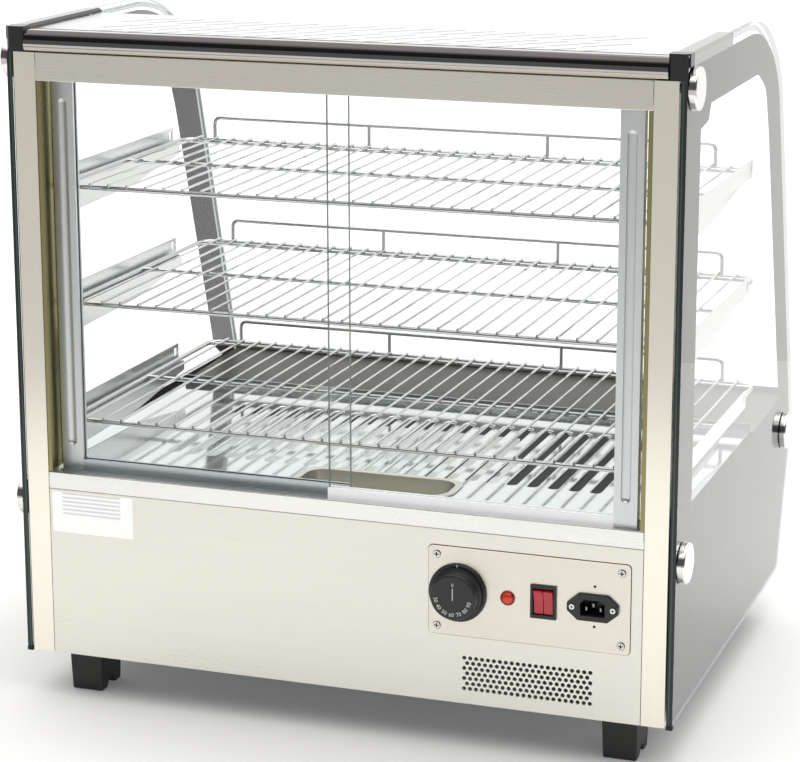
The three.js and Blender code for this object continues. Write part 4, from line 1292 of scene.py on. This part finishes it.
@dataclass
class SlidingDoor:
    """A glass door with a grooved stile on one side and a rail along its foot."""

    name: str
    stile_on_right: bool
    stile: float = 23.0
    rail_top: float = 202.0
    groove_z: Point = (216.0, 568.0)
    groove_radius: float = 4.6

    def groove(self, form: Form, x: float, front: float) -> None:
        """Line the slot in the stile's front face with a half-round trough."""
        rim = self.groove_radius
        ends = (self.groove_z[0] + rim, self.groove_z[1] - rim)
        loops = []
        for step in range(8):
            angle = math.pi / 2 * step / 7.2
            radius = rim * math.cos(angle)
            outline = stadium(x, (ends[0] - radius, ends[1] + radius), radius, 10)
            loops.append([(a, front + 0.05 + 2.7 * math.sin(angle), b) for a, b in outline])
        back = [(a, front + 2.95, b) for a, b in stadium(x, self.groove_z, rim, 10)]
        form.skin([*reversed(loops), back], cap=True)

    def frame(self) -> None:
        """Make the stile with its groove and the rail."""
        low, high = extent(f"{self.name}_frame")
        pane = extent(f"{self.name}_glass")
        stile = (high.x - self.stile, high.x) if self.stile_on_right else (low.x, low.x + self.stile)
        x = sum(stile) / 2
        seat = low.y + 3.0
        slot = stadium(x, self.groove_z, self.groove_radius, 10)
        form = Form().prism(Axis.Y, rounded_rect(stile, (low.z, high.z), 0.6, 2), low.y, seat, [slot])
        form.block((stile[0], pane[1].y + 0.1, low.z), (stile[1], high.y, high.z))
        inner = (stile[0] + 8.2, stile[1]) if self.stile_on_right else (stile[0], stile[1] - 8.2)
        form.block((inner[0], seat, low.z), (inner[1], pane[1].y + 0.1, high.z))
        rest = (low.x, stile[0]) if self.stile_on_right else (stile[1], high.x)
        form.block((rest[0], low.y, low.z), (rest[1], seat, self.rail_top))
        form.block((rest[0], pane[1].y + 0.1, low.z), (rest[1], high.y, self.rail_top))
        form.block((rest[0], seat, low.z), (rest[1], pane[1].y + 0.1, pane[0].z - 0.3))
        form.soften(0.5, 2, least=60)
        self.groove(form, x, low.y)
        form.paint(1, lambda face: rest[0] < face.calc_center_median().x < rest[1])
        # The rail gets painted light on the outer door and painted shade on the inner door.
        finishes = [DOOR_METAL, RAIL_PAINTED_LIGHT if self.stile_on_right else RAIL_PAINTED_SHADE]
        form.finish(f"{self.name}_profile", finishes, self.name, "door_aluminium",
                    replaces=[f"{self.name}_frame"])

    def build(self) -> None:
        """Build and dress the door."""
        self.frame()
        pane_low, pane_high = extent(f"{self.name}_glass")
        form = Form().block(pane_low, pane_high).soften(0.4, 1)
        form.paint(1, lambda face: abs(face.normal.y) < 0.9)
        form.finish(f"{self.name}_pane", [DOOR_PANE, DOOR_EDGE], self.name, "clear_glass",
                    replaces=[f"{self.name}_glass"])


@dataclass
class WireShelf:
    """A shelf of round wire with a fence along the customer side."""

    name: str
    rod: float = 2.5
    wire: float = 1.3
    fence_rod: float = 2.0
    fence_half: float = 285.0
    fence_posts: Point = (-101.0, 101.0)
    fence_height: float = 25.0
    pitch: float = 20.0
    corner: float = 20.0

    def build(self) -> None:
        """Build and dress the shelf."""
        low, high = extent(self.name)
        level = high.z - self.fence_height
        rod_z = level - 2.2
        wire_z = level + 1.1
        edge = high.x - self.rod
        back, front = low.y + self.rod, high.y - self.rod
        form = Form()
        rim = filleted([
            (-edge, back, 4.0),
            (edge, back, 4.0),
            (edge, front, self.corner),
            (-edge, front, self.corner),
        ], 5)
        form.rod([(x, y, rod_z) for x, y in rim], self.rod, 12, closed=True)
        second = front - 13
        middle = (back + front) / 2 + 3
        for y in (middle, second):
            form.rod([(-edge, y, rod_z), (edge, y, rod_z)], self.rod * 0.9, 10)
        count = 2 * int((edge - self.rod) // self.pitch) + 1
        for index in range(count):
            x = (index - (count - 1) / 2) * self.pitch
            turned = [(x, back - 2.6, rod_z + 0.8), (x, back - 1.2, wire_z + 0.4), (x, back + 4, wire_z)]
            form.rod([*turned, (x, front + 1.5, wire_z)], self.wire, 8)
        self.fence(form, front, level)
        form.finish(f"{self.name}_wires", WIRE_CHROME, self.name, "shelf_wire", replaces=[self.name])

    def fence(self, form: Form, front: float, level: float) -> None:
        """Add the fence rod with its bent ends and its posts."""
        top = level + self.fence_height - self.fence_rod
        foot = level - 2
        half = self.fence_half - self.fence_rod
        bend = 7.0
        line = [(-half, foot)]
        for turn in (0, 1):
            centre = (half - bend) * (1 if turn else -1)
            for step in range(5):
                angle = math.pi * (1 - turn / 2) - math.pi / 2 * step / 4
                line.append((centre + bend * math.cos(angle), top - bend + bend * math.sin(angle)))
        line.append((half, foot))
        form.rod([(x, front, z) for x, z in line], self.fence_rod, 10)
        for x in self.fence_posts:
            form.rod([(x, front, foot), (x, front, top)], self.fence_rod * 0.9, 10)


@dataclass
class HeatedDeck:
    """The slotted deck with its water tray, the heater below it and the light above."""

    slot_count: int = 22
    slot_pitch: float = 21.5
    slot_shift: float = 5.0
    slot_y: Point = (107.0, 315.5)
    slot_radius: float = 5.2
    rim: float = 1.8
    sheet: float = 1.2
    tray_x: Point = (-62.0, 98.0)
    tray_y: Point = (41.0, 98.0)

    def slots(self) -> list[float]:
        """Give the x of each slot's middle line."""
        middle = (self.slot_count - 1) / 2
        return [(index - middle) * self.slot_pitch + self.slot_shift for index in range(self.slot_count)]

    def deck(self) -> None:
        """Make the deck, whose slots have their edges turned down."""
        low, high = extent("deck")
        top = high.z - 8.5
        form = Form()
        outline = rounded_rect((low.x + 0.5, high.x - 0.5), (low.y, high.y - 0.5), 1.5, 2)
        wide = self.slot_radius + self.rim
        span = (self.slot_y[0] - self.rim, self.slot_y[1] + self.rim)
        holes = [stadium(x, span, wide) for x in self.slots()]
        holes.append(rounded_rect(self.tray_x, self.tray_y, 20.0))
        form.prism(Axis.Z, outline, top - self.sheet, top, holes)
        for x in self.slots():
            outer, inner = [], []
            for step in range(5):
                angle = math.pi / 2 * step / 4
                shrink = self.rim * math.sin(angle) if step else 0.0
                drop = self.rim * (1 - math.cos(angle))
                reach = (span[0] + shrink, span[1] - shrink)
                loop = stadium(x, reach, wide - shrink)
                outer.append([(a, b, top - drop) for a, b in loop])
                back = stadium(x, reach, wide - shrink)
                inner.append([(a, b, top - drop - self.sheet) for a, b in back])
            form.skin([*outer, *reversed(inner), outer[0]])
        bmesh.ops.remove_doubles(form.mesh, verts=form.mesh.verts, dist=1e-3)
        for edge in (low.x, high.x - self.sheet):
            form.block((edge, low.y, low.z), (edge + self.sheet, high.y, top - 0.4))
        form.block((low.x, high.y - self.sheet, top - 1), (high.x, high.y, high.z))
        form.finish("slotted_deck", DECK_MIRROR, "cabinet", "polished", replaces=["deck"])

    def build(self) -> None:
        """Build and dress the heated floor and the light."""
        self.deck()
        softened("water_tray", TRAY_STEEL, 0.5, "steel", body="water_tray", segments=3)
        dress("front_ledge", LEDGE_ENAMEL)
        # The heating element and the reflector tray glow as painted light, so the space under the deck does not
        # show dark.
        dress("heating_element", ELEMENT_PAINTED_LIGHT)
        dress("reflector_tray", REFLECTOR_PAINTED_LIGHT)
        dress("lamp", LAMP_COVER)


@dataclass
class ControlPanel:
    """The control plate with the thermostat, the pilot lamp, the switch and the inlet."""

    screw_inset: float = 8.5
    screw_radius: float = 3.4
    # How far the painted shadow sheet reaches past the plate's edge.
    shadow_rim: float = 0.6
    dial_numbers: tuple[str, ...] = ("30", "40", "50", "60", "70", "80", "90")
    dial_radius: float = 17.4
    dial_first: float = 108.0
    dial_last: float = 258.0

    @staticmethod
    def screw(form: Form, x: float, y: float, z: float, radius: float) -> None:
        """Add a round screw head with a cross recess, facing the service side."""
        arm, half = radius * 0.70, radius * 0.17
        cross = [
            (half, half), (arm, half), (arm, -half), (half, -half), (half, -arm), (-half, -arm),
            (-half, -half), (-arm, -half), (-arm, half), (-half, half), (-half, arm), (half, arm),
        ]
        form.prism(Axis.Y, circle(x, z, radius * 0.8), y - 0.2, y + 0.1)
        cut = [(x + a, z + b) for a, b in cross]
        form.prism(Axis.Y, circle(x, z, radius), y - 1.2, y - 0.2, [cut])

    @staticmethod
    def is_shaded_recess_floor(face: bmesh.types.BMFace) -> bool:
        """Tell whether a face of a screw head is the floor of its cross, which is painted black as shade."""
        return face.normal.y < -0.9 and face.calc_area() < 60 and len(face.verts) == 24

    def plate(self) -> None:
        """Make the control plate and its screws."""
        low, high = extent("control_plate")
        outline = rounded_rect((low.x, high.x), (low.z, high.z), 4.0)
        middle = 113.0
        screws = [
            (x, z)
            for x in (low.x + self.screw_inset, high.x - self.screw_inset)
            for z in (low.z + self.screw_inset, high.z - self.screw_inset)
        ]
        holes = [
            circle(126.3, middle, 5.0),
            circle(176.3, middle, 6.0),
            rounded_rect((201.0, 222.8), (middle - 14.2, middle + 15.2), 0.5, 1),
            rounded_rect((246.7, 274.7), (middle - 11, middle + 11), 0.5, 1),
            circle(262.0, 133.8, 1.3, 12),
            circle(261.8, 93.9, 1.3, 12),
            *(circle(x, z, self.screw_radius + 0.5) for x, z in screws),
        ]
        form = Form().prism(Axis.Y, outline, low.y, high.y, holes).soften(0.25, 1)
        form.finish("holed_plate", PLATE_STEEL, "cabinet", "steel", replaces=["control_plate"])
        # Painted shadow: a thin dark sheet behind the plate, wider all round, darkens its outline.
        edge = rounded_rect(
            (low.x - self.shadow_rim, high.x + self.shadow_rim), (low.z - self.shadow_rim, high.z + self.shadow_rim), 4.6
        )
        seal = Form().prism(Axis.Y, edge, -0.28, -0.04, [*holes[:4], *holes[-4:]])
        seal.finish("plate_shadow_outline", PLATE_SHADOW_SHEET, "cabinet", "rubber")
        form = Form()
        for x, z in screws:
            self.screw(form, x, low.y - 0.05, z, self.screw_radius)
        # Painted shade: the floors of the cross recesses are black.
        form.paint(1, self.is_shaded_recess_floor)
        form.finish("plate_screws", [SCREW_STEEL, BLACK_RUBBER_AND_SHADE], "cabinet", "polished")

    def thermostat(self) -> None:
        """Make the bezel with its mark and the knob with its scale."""
        low, high = extent("thermostat_bezel")
        centre = ((low.x + high.x) / 2, 0.0, (low.z + high.z) / 2)
        outer = (high.x - low.x) / 2
        profile = [
            (5.2, high.y), (outer, high.y), (outer, low.y + 1.2), (outer - 0.4, low.y + 0.4),
            (outer - 1.2, low.y), (5.2, low.y), (5.2, high.y),
        ]
        form = Form().lathe(Axis.Y, centre, profile, 72)
        form.finish("bezel_ring", BLACK_PLASTIC, "cabinet", "black_plastic",
                    replaces=["thermostat_bezel"])
        mark = Form().block(
            (centre[0] - 0.5, low.y - 0.15, centre[2] + outer - 2.9),
            (centre[0] + 0.5, low.y + 0.3, centre[2] + outer - 0.3),
        )
        mark.finish("bezel_mark", DIAL_INK, "cabinet", "lamp_cover")
        low, high = extent("thermostat_knob")
        skirt = (high.x - low.x) / 2
        face = low.y + 0.15
        profile = [
            (3.3, high.y), (skirt, high.y), (skirt, -9.4), (skirt - 0.5, -9.0 - 0.8), (24.2, -10.2),
            (23.4, -11.5), (23.0, face + 2.2), (22.6, face + 0.9), (21.6, face + 0.2),
            (20.4, face), (0.0, face), (0.0, face + 1), (0.0, -9.5), (3.3, -9.5), (3.3, high.y),
        ]
        form = Form().lathe(Axis.Y, centre, profile[:11], 72)
        bmesh.ops.holes_fill(form.mesh, edges=form.mesh.edges, sides=0)
        form.finish("turned_knob", KNOB_PLASTIC, "thermostat_knob", "black_plastic",
                    replaces=["thermostat_knob"])
        self.dial(centre, face)

    def dial(self, centre: Sequence[float], face: float) -> None:
        """Add the numbers and the zero line to the knob's face."""
        form = Form()
        step = (self.dial_last - self.dial_first) / (len(self.dial_numbers) - 1)
        for index, number in enumerate(self.dial_numbers):
            turn = math.radians(self.dial_last - index * step)
            x = centre[0] + self.dial_radius * math.sin(turn)
            z = centre[2] + self.dial_radius * math.cos(turn)
            form.text(number, 5.6, (x, face - 0.02, z), turn + math.pi)
        form.text("0", 5.0, (centre[0], face - 0.02, centre[2] + 12.5))
        form.block((centre[0] - 0.4, face - 0.08, centre[2] - 3), (centre[0] + 0.4, face, centre[2] + 9.5))
        form.finish("dial_scale", DIAL_INK, "thermostat_knob", "lamp_cover")

    def pilot(self) -> None:
        """Make the pilot lamp's ring and lens."""
        low, high = extent("pilot_lamp")
        centre = ((low.x + high.x) / 2, 0.0, (low.z + high.z) / 2)
        radius = (high.x - low.x) / 2
        profile = [
            (0.0, low.y), (2.0, low.y + 0.15), (4.0, low.y + 0.7), (5.2, low.y + 1.5),
            (5.8, low.y + 2.4), (6.4, -3.0), (radius - 0.3, -2.7), (radius, -2.3), (radius, -1.8),
            (5.6, -1.8), (5.6, high.y), (0.0, high.y),
        ]
        form = Form().lathe(Axis.Y, centre, profile, 40)
        form.paint(1, lambda face: face.calc_center_median().y > low.y + 1.6)
        form.finish("lamp_lens", [PILOT_LENS, PILOT_RING], "cabinet", "pilot_lens", replaces=["pilot_lamp"])

    def inlet(self) -> None:
        """Make the inlet's shell, its pins and its screws."""
        low, high = extent("power_inlet")
        x = (low.x + high.x) / 2
        z = (low.z + high.z) / 2
        half = (high.x - low.x) / 2
        side = (high.z - low.z) / 2
        flange = filleted([
            (x - half, z - 4, 2.0), (x - half + 10.5, z - side, 3.0), (x + half - 10.5, z - side, 3.0),
            (x + half, z - 4, 2.0), (x + half, z + 4, 2.0), (x + half - 10.5, z + side, 3.0),
            (x - half + 10.5, z + side, 3.0), (x - half, z + 4, 2.0),
        ], 3)
        socket = filleted([
            (x - 12, z - 8, 1.0), (x + 12, z - 8, 1.0), (x + 12, z + 4, 1.0), (x + 8, z + 8, 1.0),
            (x - 8, z + 8, 1.0), (x - 12, z + 4, 1.0),
        ], 2)
        form = Form().prism(Axis.Y, flange, low.y, low.y + 3, [socket])
        form.prism(Axis.Y, rounded_rect((x - 13.5, x + 13.5), (z - 10.5, z + 10.5), 1.0, 2),
                   low.y + 2, 14.0, [socket])
        form.block((x - 13.5, 14.0, z - 10.5), (x + 13.5, high.y, z + 10.5))
        form.soften(0.4, 2, least=60)
        form.finish("inlet_shell", BLACK_PLASTIC, "cabinet", "black_plastic", replaces=["power_inlet"])
        # The pins' metal is darkened as painted shade of the socket.
        pins = Form()
        for a, b in ((-7, -2), (7, -2), (0, 2)):
            pins.block((x + a - 1, low.y + 4, z + b - 2), (x + a + 1, 14.5, z + b + 2))
        pins.soften(0.4, 2).finish("inlet_pins", PIN_PAINTED_SHADE_METAL, "cabinet", "polished")
        screws = Form()
        for shift in (-20, 20):
            self.screw(screws, x + shift, low.y - 0.05, z, 2.6)
        # Painted shade: the floors of the cross recesses are black.
        screws.paint(1, self.is_shaded_recess_floor)
        screws.finish("inlet_screws", [CAP_MIRROR, BLACK_RUBBER_AND_SHADE], "cabinet", "polished")

    def build(self) -> None:
        """Build and dress the controls."""
        self.plate()
        self.thermostat()
        self.pilot()
        self.inlet()
        dress("thermostat_body", BLACK_PLASTIC)
        softened("switch_housing", BLACK_PLASTIC, 0.5, "black_plastic")
        for name in ("rocker_heat", "rocker_light"):
            softened(name, ROCKER_RED, 0.7, "red_plastic", body=name, segments=3)


@dataclass
class Studio:
    """The camera, the floor and the soft light."""

    camera_place: tuple[float, float, float] = (863.8, -2254.3, 927.1)
    pan: float = 19.147
    tilt: float = 13.485
    lens: float = 116.9
    shift: Point = (-0.0175, -0.0468)
    floor_radius: float = 1.5

    def camera(self) -> None:
        """Stand the camera at the service side, to the right and above."""
        data = bpy.data.cameras.new("camera")
        data.lens = self.lens
        data.sensor_width = 36.0
        data.shift_x, data.shift_y = self.shift
        data.clip_end = 50.0
        holder = bpy.data.objects.new("camera", data)
        holder.location = Vector(self.camera_place) * MM + CABINET_ORIGIN
        holder.rotation_euler = (math.radians(90 - self.tilt), 0.0, math.radians(self.pan))
        bpy.context.scene.collection.objects.link(holder)
        bpy.context.scene.camera = holder

    def floor(self) -> None:
        """Lay the pale floor."""
        mesh = bmesh.new()
        bmesh.ops.create_circle(mesh, cap_ends=True, radius=self.floor_radius, segments=96)
        data = bpy.data.meshes.new("floor")
        mesh.to_mesh(data)
        mesh.free()
        data.materials.append(STUDIO_PAPER.material())
        floor = bpy.data.objects.new("floor", data)
        floor.location.z = -0.0005
        bpy.context.scene.collection.objects.link(floor)

    def sky(self) -> None:
        """Light the studio from a white backdrop and a soft ceiling."""
        world = bpy.data.worlds.new("studio")
        bpy.context.scene.world = world
        world.use_nodes = True
        graph = Graph(world.node_tree)
        way = graph.node("ShaderNodeTexCoord", out="Generated")
        parts = graph.node("ShaderNodeSeparateXYZ", values={0: way}).socket.node.outputs
        deep, up = Value(graph, parts[1]), Value(graph, parts[2])
        back = graph.ease(deep, -0.20, 0.35)
        ceiling = graph.ease(up, 0.55, 0.85)
        ground = graph.ease(0.0 - up, -0.02, 0.10)
        front = 0.09 + ceiling * 1.6 + ground * 0.6
        level = front * (1.0 - back) + back * (1.1 + ceiling * 0.6)
        lit = graph.node("ShaderNodeBackground", values={"Color": (1.0, 0.99, 0.975, 1.0), "Strength": level})
        seen = graph.node("ShaderNodeBackground", values={"Color": (1.0, 1.0, 1.0, 1.0), "Strength": 1.4})
        ray = graph.node("ShaderNodeLightPath", out="Is Camera Ray")
        sky = graph.node("ShaderNodeMixShader", values={0: ray, 1: lit, 2: seen})
        graph.node("ShaderNodeOutputWorld", values={"Surface": sky})

    def lamp(self, name: str, place: Sequence[float], size: float, power: float) -> None:
        """Hang a soft square lamp that points at the case.

        Args:
            name: The lamp's name.
            place: Where it hangs, in metres.
            size: Its side, in metres.
            power: Its power, in watts.
        """
        data = bpy.data.lights.new(name, "AREA")
        data.shape = "SQUARE"
        data.size = size
        data.energy = power
        holder = bpy.data.objects.new(name, data)
        holder.location = place
        aim = Vector((0.0, 0.0, 0.35)) - Vector(place)
        holder.rotation_euler = aim.to_track_quat("-Z", "Y").to_euler()
        bpy.context.scene.collection.objects.link(holder)

    def build(self) -> None:
        """Set up the studio."""
        self.camera()
        self.floor()
        self.sky()
        self.lamp("overhead", (0.5, 0.4, 2.6), 1.6, 12.0)
        bpy.context.scene.view_settings.view_transform = "Standard"


def main() -> None:
    """Build the studio and every sub-assembly."""
    logging.basicConfig(level=logging.INFO, format="%(message)s")
    parts = [
        Studio(),
        Housing(),
        UprightFrame(),
        Roof(),
        CabinetGlass(),
        SlidingDoor("outer_door", stile_on_right=True),
        SlidingDoor("inner_door", stile_on_right=False),
        WireShelf("top_shelf"),
        WireShelf("middle_shelf"),
        WireShelf("bottom_shelf"),
        HeatedDeck(),
        ControlPanel(),
    ]
    for part in parts:
        part.build()
        LOG.info("built %s", type(part).__name__)


if __name__ == "__main__":
    main()
